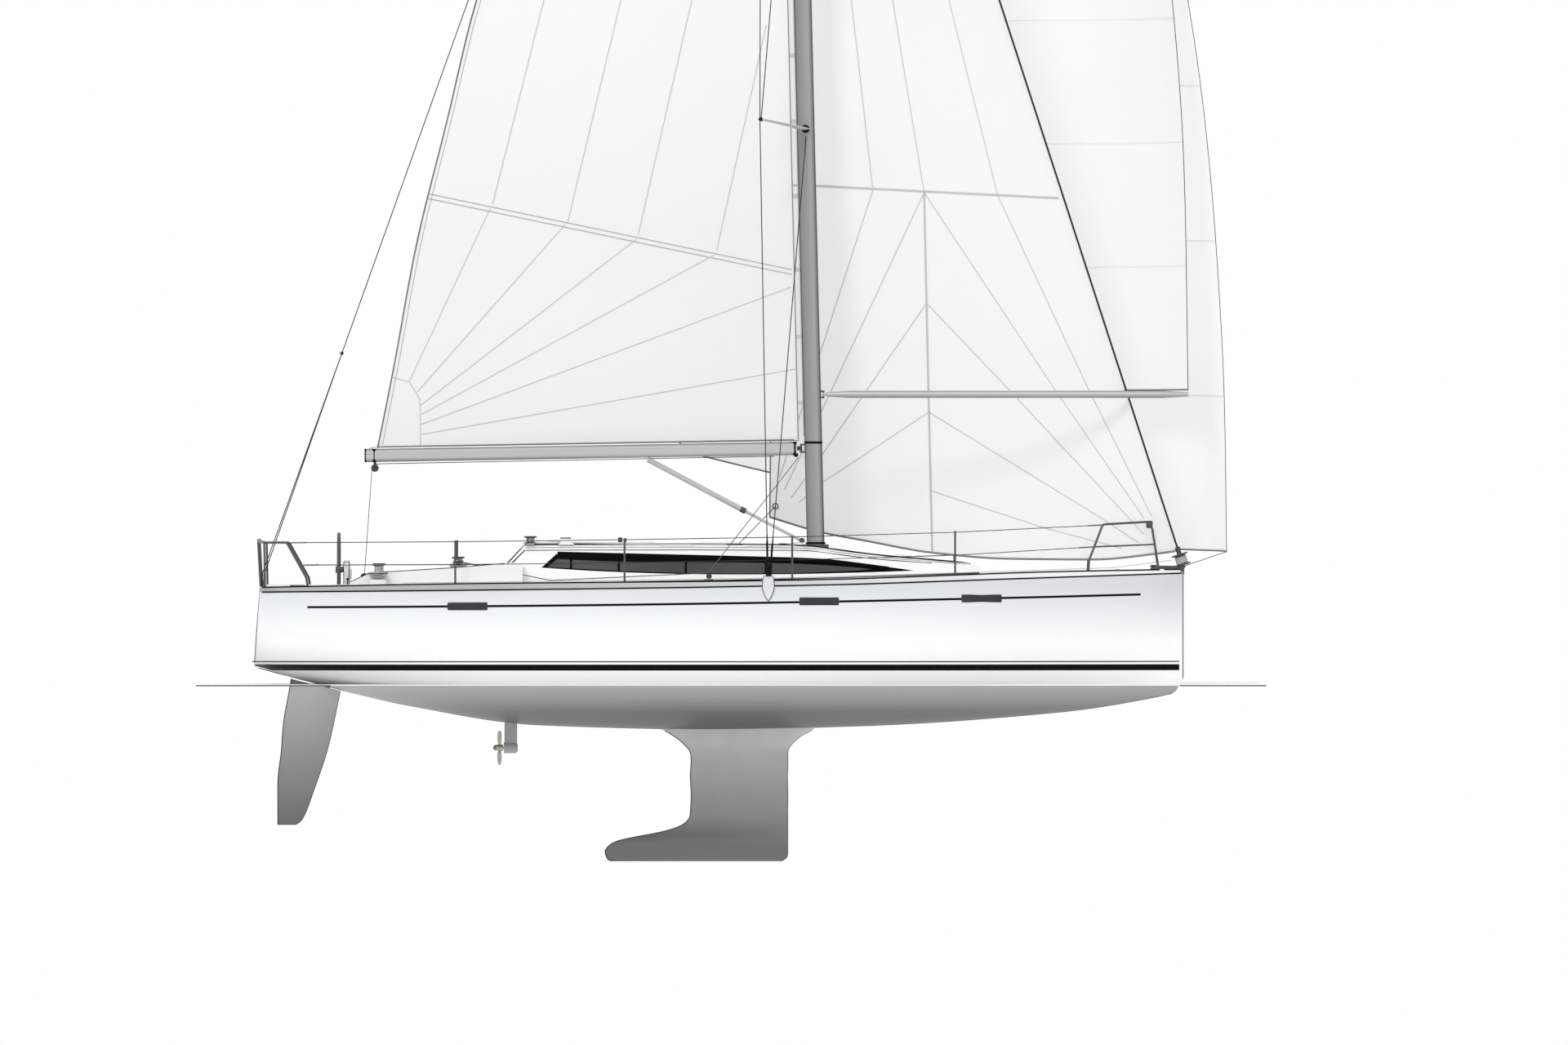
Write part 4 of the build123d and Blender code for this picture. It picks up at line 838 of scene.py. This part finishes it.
outlines = Shape()
crest = through([(-2.7, 0.4), (0.5, 0.4), (1.6, 0.28), (2.25, 0.27), (2.6, 0.2), (2.75, 0.12)])
outlines.tube([(x, crest(x), roof_z(x, crest(x)) + 0.008) for x in spaced(-2.72, 0.11, 50)], 0.009)
outlines.tube([(x, roof_half(x) + 0.004, deck_z(x, roof_half(x)) + 0.006) for x in spaced(-2.73, 0.11, 51)],
              0.006)
for start, end in (((-2.941, 1.441), (-2.733, 1.668)), ((-2.901, 1.431), (-2.714, 1.618))):
    line = [Vector(start).lerp(Vector(end), i / 6) for i in range(7)]
    outlines.tube([(x, roof_side(x, z) + 0.002, z) for x, z in line], 0.008)
outlines.both_sides().make("coachroof_edges", dark_line, slot="rail_grey")


def hatch_details(name, body, x, pitch, hinge_side):
    """Rim, hinges, catches and pane of a roof hatch, in the hatch's own tilt."""
    place = Matrix.Translation((x, 0, roof_z(x))) @ Matrix.Rotation(math.radians(pitch), 4, "Y")
    rim = Shape().tube([place @ Vector((px, py, 0.0285)) for px, py in rounded(0.208, 0.208, 0.038)],
                       0.005, closed=True)
    for y in (-0.13, 0.13):
        rim.pad((hinge_side * 0.205, y, 0.025), (0.036, 0.07, 0.014), 0.006, 0.002, place)
        rim.lathe([(0, 0), (0.022, 0), (0.022, 0.008), (0.015, 0.012), (0, 0.012)],
                  place @ Vector((-hinge_side * 0.16, y, 0.03)))
    rim.make(name, white_plastic, body, "rig_alloy")
    pane = Shape().pad((0, 0, 0.0305), (0.37, 0.37, 0.003), 0.03, 0.001, place)
    pane.make(name + "_pane", smoked, body, "smoked_glass")


hatch_details("saloon_hatch_rim", "saloon_hatch", -0.37, 0.0, -1)
hatch_details("fore_hatch_rim", "fore_hatch", 1.99, 5.1, 1)

slide_grip = Shape().pad((-2.7, 0, 1.719), (0.03, 0.5, 0.014), 0.006)
slide_grip.make("companionway_grip", deck_white, "companionway_hatch", "deck_gelcoat")
garage = Shape().pad((-1.55, 0, roof_z(-1.55) + 0.003), (0.7, 0.72, 0.006), 0.05, 0.002)
garage.make("hatch_garage_seat", nonskid, slot="deck_gelcoat")
board_trim = Shape()
for z in (1.22, 1.45):
    board_trim.pad((-2.733, 0, z), (0.006, 0.62, 0.012), 0.002, 0.001)
board_trim.disc((-2.732, 0, 1.56), 0.026, 0.012, (-1, 0, 0))
board_trim.make("washboard_trim", stainless, slot="stainless")
pads = Shape()
for x0, x1, half in ((0.98, 1.7, 0.3), (-1.1, -0.66, 0.62), (-0.08, 0.55, 0.6)):
    net = [(x0 + (x1 - x0) * i / 8, half * (2 * j / 12 - 1)) for j in range(13) for i in range(9)]
    pads.add([(x, y, roof_z(x, y) + 0.003) for x, y in net], grid(12, 8))
pads.make("roof_nonskid", nonskid, slot="deck_gelcoat")

# ---- Winches, clutches and running gear ----
WINCHES = ((-4.48, 1.44, 1.278, 0.121, 0.066, 0.182), (-3.523, 1.21, 1.398, 0.104, 0.066, 0.141),
           (-2.65, 0.52, 1.668, 0.062, 0.072, 0.12))
winches, rims = Shape(), Shape()
for x, y, z, bowl, cap, height in WINCHES:
    profile = [(0, 0), (bowl * 0.55, 0), (bowl * 0.62, 0.02), (bowl * 0.86, 0.16), (bowl, 0.33), (bowl, 0.37),
               (bowl * 0.93, 0.41), (cap * 0.74, 0.44)]
    profile += [(cap * (0.66 if i % 2 else 0.7), 0.46 + 0.05 * i) for i in range(8)]
    profile += [(cap * 0.86, 0.85), (cap, 0.87), (cap, 0.9), (cap * 0.8, 0.915), (cap, 0.93), (cap, 0.975),
                (cap * 0.9, 1), (cap * 0.3, 1), (cap * 0.27, 0.97), (0, 0.97)]
    winches.lathe([(r, height * h) for r, h in profile], (x, y, z), steps=28)
    for size, level in ((bowl, 0.35), (cap, 0.89), (cap * 0.97, 0.98)):
        rims.hoop((x, y, z + height * level), size, 0.0045, 28)
gear = winches.both_sides().make("winch_drums", chrome, slot="chrome_steel")
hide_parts("winches")
rims.both_sides().make("winch_rims", dark_line, slot="black_plastic")
winch_pads = Shape().lathe([(0, 0), (0.112, 0), (0.1, 0.1), (0.092, 0.108), (0, 0.108)],
                           (-4.48, 1.44, deck_z(-4.48, 1.44) - 0.005))
winch_pads.both_sides().make("winch_plinths", deck_white, slot="deck_gelcoat")

LEVER_YS = (0.452, 0.506, 0.56)
clutches, levers, roof_lines = Shape(), Shape(), Shape()
for i, y in enumerate(LEVER_YS):
    side = [(-2.31, 1.684), (-2.262, 1.742), (-2.214, 1.762), (-2.165, 1.748), (-2.118, 1.684)]
    clutches.rings([[(x, y + edge, z) for x, z in side] for edge in (-0.022, 0.022)])
    levers.pad((-2.225, y, 1.766), (0.13, 0.03, 0.014), 0.006)
    turn_x, turn_y = 0.42 - 0.02 * i, 0.2 + 0.06 * i
    roof_lines.rope([(-2.31, y, 1.712), (-1.2, y - 0.04, roof_z(-1.2, y) + 0.012),
                     (turn_x, turn_y, roof_z(turn_x, turn_y) + 0.014), (0.7, 0.1, 1.72)], THIN_ROPE, 0.15)
    roof_lines.rope([(-2.12, y, 1.712), (-2.58, 0.5 + 0.03 * i, 1.74)], THIN_ROPE)
jaws = clutches.both_sides().make("clutch_bodies", white_plastic, slot="black_plastic")
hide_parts("rope_clutches")
levers.both_sides().make("clutch_levers", black_plastic, slot="black_plastic")
roof_lines.both_sides().make("halyards_on_roof", rope_white, slot="sailcloth")
organisers = Shape().pad((0.4, 0.26, roof_z(0.4, 0.26) + 0.012), (0.09, 0.24, 0.024), 0.03)
organisers.both_sides().make("deck_organisers", black_plastic, slot="black_plastic")

TRACK_Y, CAR_X = 1.36, -0.49
car_deck = deck_z(CAR_X, TRACK_Y)
tracks = Shape().tube([(x, TRACK_Y, deck_z(x, TRACK_Y) + 0.008) for x in spaced(-0.95, 0.1, 12)], 0.012)
tracks.both_sides().make("jib_tracks", dark_line, slot="black_plastic")
jib_cars = Shape().pad((CAR_X, TRACK_Y, car_deck + 0.03), (0.11, 0.05, 0.03), 0.01)
jib_cars.sheave((CAR_X, TRACK_Y, car_deck + 0.075), 0.034, 0.026, 0.014)
jib_cars.both_sides().make("jib_sheet_cars", black_plastic, slot="black_plastic")
car_top = (CAR_X, TRACK_Y, car_deck + 0.1)
lead_z = deck_z(-2.4, 1.3) + 0.05
jib_lines = Shape().rope([clew, car_top], ROPE)
jib_lines.rope([car_top, (-2.4, 1.3, lead_z), (-3.46, 1.24, 1.47)], ROPE, 0.25)
jib_lines.rope([(0.588, -0.075, 2.743), (-0.5, -1.34, 1.345)], 0.0055, 0.25)
jib_lines.rope([(-0.5, -1.34, 1.345), (-2.4, -1.3, lead_z), (-3.46, -1.24, 1.47)], ROPE, 0.25)
for side in (1, -1):
    for turn in range(3):
        jib_lines.hoop((-3.523, side * 1.21, 1.466 + 0.012 * turn), 0.052, ROPE, 18)
jib_lines.make("jib_sheets", rope_dark, slot="sailcloth")

for i, gap in enumerate((-0.016, 0.0, 0.016)):
    fall = Shape().rope([(-4.655, gap, 1.33), (-4.565, gap, 2.6)], 0.0042, 0.08)
    part = fall.make(f"mainsheet_part_{i}", rope_dark, None, "sailcloth")
    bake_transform(part)
sheet_tail = Shape().rope([(-4.53, 0.03, 2.66), (-4.4, 0.03, 2.665), (0.3, 0.03, 2.755)], THIN_ROPE, 0.3)
sheet_tail.make("mainsheet_under_boom", rope_dark, "boom", "sailcloth")
boom_trim = Shape().pad((-4.645, 0, boom_z(-4.641)), (0.02, 0.118, 0.166), 0.05)
boom_trim.pad((-4.539, 0, boom_z(-4.539)), (0.05, 0.1145, 0.1625), 0.045, 0.002)
boom_trim.pad((0.545, 0, boom_z(0.545)), (0.05, 0.118, 0.166), 0.045, 0.002)
boom_trim.sheave((0.56, 0.035, 2.773), 0.028, 0.02, 0.012)
boom_trim.make("boom_end_caps", dark_line, "boom", "black_plastic")
along_boom = Matrix.Translation((0, 0, boom_z(-1.97) + 0.081)) @ Matrix.Rotation(-BOOM_TILT, 4, "Y")
boom_slot = Shape().pad((-1.97, 0, 0), (5.0, 0.012, 0.006), 0.003, 0.001, along_boom)
boom_slot.make("boom_track", dark_line, "boom", "black_plastic")
outhaul = Shape().tube([(-4.5, 0, 2.868), (-4.6, 0, 2.85)], ROPE)
outhaul.rope([(-4.497, 0.02, 2.9), (-4.497, 0.05, 2.83), (-4.497, 0, 2.8)], ROPE, 0.05)
outhaul.make("outhaul", rope_white, "boom", "sailcloth")
kicker_trim = Shape().tube([(-0.11, 0, 2.118), (-0.05, 0, 2.088)], 0.036, 12)
kicker_trim.lathe([(0, -0.03), (0.034, -0.03), (0.034, -0.02), (0.026, 0), (0.034, 0.02), (0.034, 0.03),
                   (0, 0.03)], (0.632, 0, 1.735), (0, 1, 0))
kicker_trim.make("kicker_end", stainless, "boom", "black_plastic")

# ---- Mast and rigging details ----
mast_trim = Shape()
for low, height, grow in ((2.906, 0.03, 0.003), (1.692, 0.026, 0.012), (17.82, 0.03, 0.003)):
    half = mast_half_chord(low) + grow
    mast_trim.rings([[(mast_x(low + dz) + (half - inset) * c, (half - inset) * MAST_SLIMNESS * s, low + dz)
                      for c, s in around(28)]
                     for dz, inset in ((0, grow), (0.002, 0), (height - 0.002, 0), (height, grow))])
mast_trim.make("mast_bands", dark_line, slot="black_plastic")
track = Shape().tube([(mast_x(z) - mast_half_chord(z) - 0.006, 0, z) for z in spaced(3.0, 0.48, 31)], 0.009)
track.make("mast_track", seam_tape, slot="rig_alloy")
knuckles = Shape()
for z, tip, size in ((6.71, (0.138, 1.25, 6.819), 0.032), (11.9, (0.15, 0.95, 11.99), 0.028)):
    root, tip = Vector((mast_x(z), 0.066, z)), Vector(tip)
    knuckles.tube([root + Vector((0, -0.012, 0)), root + Vector((-0.01, 0.05, 0.003))], size * 1.5, 12)
    knuckles.tube([tip + Vector((0.004, -0.05, -0.002)), tip + Vector((-0.01, 0.012, 0))], size * 0.75, 12)
knuckles.both_sides().make("spreader_ends", dark_line, slot="black_plastic")
screws = Shape()
for foot, tip in (((0.217, 1.858, 1.312), (0.124, 1.264, 6.819)),
                  ((0.243, 1.842, 1.312), (0.68, 0.075, 6.62))):
    foot = Vector(foot)
    step = (Vector(tip) - foot).normalized()
    screws.tube([foot + step * reach for reach in (0, 0.13, 0.15, 0.4, 0.42, 0.5)],
                [0.021, 0.021, 0.013, 0.013, 0.009, 0.007], 10)
screws.both_sides().make("rigging_screws", dark_line, slot="stainless")
side_edge = through([(1.007, 0.0), (1.06, 0.036), (1.18, 0.072), (1.309, 0.062)])
heights = [1.007 + 0.302 * i / 14 for i in range(15)]
outline = [(0.225 + side_edge(z), z) for z in heights]
outline += [(0.225 - side_edge(z), z) for z in reversed(heights[1:])]
shield = Shape().tube([(x, max(hull_half(x, z), 1.85) + 0.001, z) for x, z in outline], FAIR_LINE,
                      closed=True)
shield.both_sides().make("chainplate_edges", dark_line, slot="topsides")
top = Shape().tube([(0.3, 0.02, 17.94), (0.3, 0.02, 18.32)], 0.004)
top.tube([(0.5, -0.01, 17.94), (0.62, -0.01, 18.06), (0.9, -0.01, 18.09)], 0.005)
for a in (0.3, 2.4, 4.5):
    reach = Vector((math.cos(a), math.sin(a), 0))
    top.tube([(0.9, -0.01, 18.12), Vector((0.9, -0.01, 18.12)) + reach * 0.06], 0.004)
    top.lathe([(0, 0), (0.018, 0), (0.014, 0.014), (0, 0.02)], Vector((0.9, -0.01, 18.112)) + reach * 0.07)
top.tube([(0.42, 0, 17.94), (0.42, 0, 18.14)], 0.004)
top.pad((0.36, 0, 18.14), (0.24, 0.004, 0.006), 0.002, 0.001)
top.pad((0.24, 0, 18.14), (0.05, 0.003, 0.06), 0.002, 0.001)
top.lathe([(0, 0), (0.03, 0), (0.03, 0.07), (0.02, 0.085), (0, 0.09)], (0.2, 0, 17.945))
top.make("masthead_gear", black_plastic, slot="black_plastic")
lamp = Shape().pad((mast_x(8.9) + 0.13, 0, 8.9), (0.07, 0.07, 0.09), 0.03, 0.01)
lamp.make("steaming_light", white_plastic, slot="black_plastic")

base = Vector((forestay_x(1.432), 0, 1.432))
along = (Vector((forestay_x(2.6), 0, 2.6)) - Vector((forestay_x(1.6), 0, 1.6))).normalized()
furler = Shape().lathe([
    (0, -0.03), (0.02, -0.03), (0.024, 0), (0.085, 0.002), (0.103, 0.012), (0.103, 0.02), (0.068, 0.026),
    (0.062, 0.05), (0.06, 0.1), (0.068, 0.126), (0.103, 0.132), (0.103, 0.142), (0.085, 0.15), (0.03, 0.152),
    (0.028, 0.2), (0.034, 0.205), (0.034, 0.225), (0.018, 0.24), (0, 0.24)], base, along, 32)
drum = furler.make("furler_spool", metal("furler_alloy", (88, 90, 92), 0.4), slot="black_plastic")
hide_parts("furler_drum")
coil = Shape()
turn = along.to_track_quat("Z", "Y")
for layer in range(6):
    coil.hoop(base + turn @ Vector((0, 0, 0.036 + 0.014 * layer)), 0.066, 0.0075, 20, turn)
coil.make("furling_line_on_drum", rope_white, slot="sailcloth")
line = [(5.1, -0.05, 1.5)]
for x in (4.4, 3.4, 2.477, 0.513, -1.507, -3.547, -4.2):
    y = min(breadth(x) - 0.1, 1.75)
    line.append((x, -y, deck_z(x, y) + 0.075))
Shape().rope(line, 0.004, 0.3).make("furling_line", rope_white, slot="sailcloth")
tack = Shape().rope([(5.2, 0.015, 1.41), (5.76, 0.005, 1.6)], THIN_ROPE, 0.1)
tack.make("gennaker_tack_line", rope_dark, slot="sailcloth")

# ---- Guard rails ----
POSTS, POST_HEIGHT = (-3.547, -1.507, 0.513, 2.477), 0.572


def rail_point(x, height):
    y = breadth(x) - 0.062 - 0.012 * height / POST_HEIGHT
    return (x, y, deck_z(x, y) + 0.002 + height)


upper = [(-5.575, breadth(-5.319) - 0.09, 1.71), *(rail_point(x, 0.566) for x in POSTS),
         (4.262, breadth(4.085) - 0.16, 1.924)]
lower = [(-5.42, breadth(-5.319) - 0.075, 1.44), *(rail_point(x, 0.29) for x in POSTS),
         (4.16, breadth(4.085) - 0.105, 1.66)]
wires, fittings = Shape(), Shape()
for x in POSTS:
    fittings.lathe([(0, 0), (0.036, 0), (0.036, 0.008), (0.024, 0.014), (0.019, 0.05), (0, 0.05)],
                   rail_point(x, 0.0))
    fittings.lathe([(0, -0.012), (0.0145, -0.012), (0.0145, 0.004), (0.009, 0.012), (0, 0.014)],
                   rail_point(x, POST_HEIGHT))
for line in (upper, lower):
    wires.rope(line, 0.0048, 0.4)
    for a, b in ((line[0], line[1]), (line[-1], line[-2])):
        step = (Vector(b) - Vector(a)).normalized()
        fittings.tube([Vector(a) + step * 0.02, Vector(a) + step * 0.2], 0.008, 8)
wires.both_sides().make("lifelines", light_wire, slot="stainless")
fittings.both_sides().make("lifeline_fittings", stainless, slot="stainless")
light = Shape().pad((-1.559, -(breadth(-1.5) - 0.075), 1.745), (0.05, 0.05, 0.06), 0.012)
light.make("rail_lamp", black_plastic, slot="black_plastic")
bow_light = Shape().pad((4.83, 0, 1.93), (0.08, 0.07, 0.09), 0.03, 0.01)
bow_light.tube([(4.82, -0.34, 1.93), (4.82, 0.34, 1.93)], 0.011, 10)
bow_light.make("bow_light", stainless, slot="stainless")

# ---- Bow gear and catches ----
roller = Shape()
for y in (-0.05, 0.05):
    roller.pad((5.09, y, 1.395), (0.3, 0.008, 0.075), 0.02, 0.002)
roller.sheave((5.2, 0, 1.4), 0.03, 0.02, 0.045)
roller.make("bow_roller", stainless, slot="stainless")
windlass = Shape().pad((4.87, 0.0, 1.375), (0.17, 0.12, 0.03), 0.03)
windlass.lathe([(0, 0), (0.045, 0), (0.03, 0.02), (0.045, 0.04), (0.03, 0.052), (0, 0.052)], (4.88, 0, 1.39))
windlass.make("windlass", stainless, slot="stainless")
for name, at, body in (("anchor_lid_catch", (4.44, 0, 1.387), "anchor_locker_lid"),
                       ("locker_catch_port", (-3.8, 0.44, 1.22), "locker_lid_port"),
                       ("locker_catch_starboard", (-3.8, -0.44, 1.22), "locker_lid_starboard")):
    Shape().disc(at, 0.03, 0.004).make(name, stainless, body, "stainless")

# ---- Cockpit ----
benches = Shape()
for x0, x1, y0, y1 in ((-4.685, -4.37, 0.345, 1.075), (-3.23, -2.755, 0.345, 1.075),
                       (-4.365, -3.235, 0.345, 0.39), (-4.365, -3.235, 0.875, 1.075)):
    benches.pad(((x0 + x1) / 2, (y0 + y1) / 2, 1.193), (x1 - x0, y1 - y0, 0.006), 0.012, 0.0015)
benches.both_sides().make("bench_teak", teak, slot="cabin_floor")
floor_teak = Shape().pad((-3.64, 0, 0.823), (1.72, 0.6, 0.006), 0.02, 0.0015)
floor_teak.pad((-5.27, 0, 0.823), (1.02, 2.3, 0.006), 0.03, 0.0015)
floor_teak.make("sole_teak", teak, slot="cabin_floor")
for side, label in SIDES:
    cover = Shape().pad((-3.8, side * 0.625, 1.222), (1.04, 0.39, 0.005), 0.03, 0.0015)
    cover.make(f"locker_teak_{label}", teak, f"locker_lid_{label}", "cabin_floor")
consoles = Shape().pad((-4.867, 0.8, 1.49), (0.07, 0.17, 0.014), 0.02, 0.004)
consoles.pad((-4.822, 0.8, 1.33), (0.012, 0.13, 0.13), 0.02, 0.003)
consoles.both_sides().make("helm_instruments", white_plastic, slot="black_plastic")
case_edges = Shape()
for x in (-4.9, -4.834):
    case_edges.tube([(x, 0.897, 0.84), (x, 0.897, 1.478)], FAIR_LINE)
case_edges.tube([(-4.9, 0.897, 1.48), (-4.834, 0.897, 1.48)], FAIR_LINE)
case_edges.both_sides().make("pedestal_edges", dark_line, slot="rail_grey")
lever = Shape().pad((-4.867, -0.912, 1.12), (0.05, 0.02, 0.08), 0.01)
lever.tube([(-4.867, -0.925, 1.12), (-4.85, -0.93, 1.26)], 0.007, 8)
lever.lathe([(0, -0.02), (0.016, -0.012), (0.016, 0.012), (0, 0.02)], (-4.85, -0.93, 1.27))
lever.make("engine_control", stainless, slot="stainless")
for side, label in SIDES:
    cap = Shape().lathe([(0, -0.012), (0.03, -0.012), (0.045, 0), (0.045, 0.006), (0, 0.01)],
                        (-4.99, side * 0.8, 1.386), (-1, 0, 0))
    cap.make(f"wheel_nut_{label}", stainless, f"wheel_{label}", "stainless")
crest_line = [(-4.82, 1.24), (-4.569, 1.356), (-4.346, 1.364), (-3.622, 1.409), (-2.956, 1.464)]
coaming_trim = Shape().tube([(x, 1.327, z - 0.004) for x, z in crest_line], 0.0045)
coaming_trim.ribbon([((x, 1.09, z + 0.001), (0, 0, 1)) for x, z in crest_line], 0.008, both=False)
coaming_trim.both_sides().make("coaming_edges", dark_line, slot="rail_grey")
treads = Shape()
for t in (0, 0.2, 0.4, 0.6, 0.8):
    treads.pad((-4.8 + 0.231 * t, 1.21, 1.243 + 0.119 * t), (0.024, 0.2, 0.006), 0.002, 0.001)
treads.both_sides().make("coaming_treads", dark_line, slot="rail_grey")
on_transom = Matrix.Translation((-5.943, 0, 0.66)) @ Matrix.Rotation(math.atan2(0.079, 0.972), 4, "Y")
platform = Shape().pad((0.05, 0, 0.0), (0.006, 1.4, 0.68), 0.004, 0.001, on_transom)
platform.make("platform_teak", teak, "transom_platform", "cabin_floor")
hinges = Shape()
for y in (-0.5, 0.5):
    hinges.tube([(-5.998, y - 0.05, 0.276), (-5.998, y + 0.05, 0.276)], 0.01, 10)
hinges.make("platform_hinges", stainless, "transom_platform", "stainless")

# ---- Underwater details ----
anode = Shape().lathe([(0, -0.02), (0.03, -0.018), (0.036, 0.0), (0.012, 0.02), (0, 0.024)],
                      (-3.08, 0, -0.769), (-1, 0, 0))
anode.make("propeller_anode", metal("zinc", (140, 142, 144), 0.6), "propeller", "bronze")

# ---- Stage ----
floor_paint = Paint("floor", 250, 0.7, shine=0.1)
rim_paint = Paint("floor_edge", 96, 0.7)
slab = Shape().pad((-0.222, 1.875, -0.003), (12.86, 10.65, 0.005), 0.01, 0.001)
edges = Shape()
for low_x, high_x in ((-6.651, -5.03), (5.17, 6.207)):
    edges.pad(((low_x + high_x) / 2, -3.45, -0.007), (high_x - low_x, 0.01, 0.016), 0.004, 0.001)
slab.make("floor", floor_paint, None, smooth=False)
edges.make("floor_rim", rim_paint, None, smooth=False)

# Surfaces are lit a little less brightly than the backdrop that the camera and mirrors see.
world = bpy.data.worlds.new("studio")
bpy.context.scene.world = world
world.use_nodes = True
nodes, links = world.node_tree.nodes, world.node_tree.links
lit, seen = nodes["Background"], nodes.new("ShaderNodeBackground")
for backdrop, strength in ((lit, 0.85), (seen, 1.0)):
    backdrop.inputs[0].default_value = (1, 1, 1, 1)
    backdrop.inputs[1].default_value = strength
ray, blend = nodes.new("ShaderNodeLightPath"), nodes.new("ShaderNodeMixShader")
two, three = (nodes.new("ShaderNodeMath") for _ in range(2))
two.operation = three.operation = "MAXIMUM"
links.new(ray.outputs["Is Camera Ray"], two.inputs[0])
links.new(ray.outputs["Is Glossy Ray"], two.inputs[1])
links.new(two.outputs[0], three.inputs[0])
links.new(ray.outputs["Is Transmission Ray"], three.inputs[1])
for source, target in zip((three, lit, seen), blend.inputs):
    links.new(source.outputs[0], target)
links.new(blend.outputs[0], nodes["World Output"].inputs[0])

sun = bpy.data.lights.new("key", "SUN")
sun.energy = 0.9
sun.angle = math.radians(12)
lamp_object = bpy.data.objects.new("key", sun)
lamp_object.rotation_euler = Vector((0.25, 0.75, -0.6)).to_track_quat("-Z", "Y").to_euler()
bpy.context.scene.collection.objects.link(lamp_object)

camera = bpy.data.cameras.new("camera")
camera.lens = 1100
camera.sensor_width = 36
camera.clip_end = 1000
shot = bpy.data.objects.new("camera", camera)
shot.location = (0.414, -579.0, 1.954)
shot.rotation_euler = (math.pi / 2, 0, 0)
bpy.context.scene.collection.objects.link(shot)
bpy.context.scene.camera = shot
bpy.context.scene.view_settings.view_transform = "Standard"
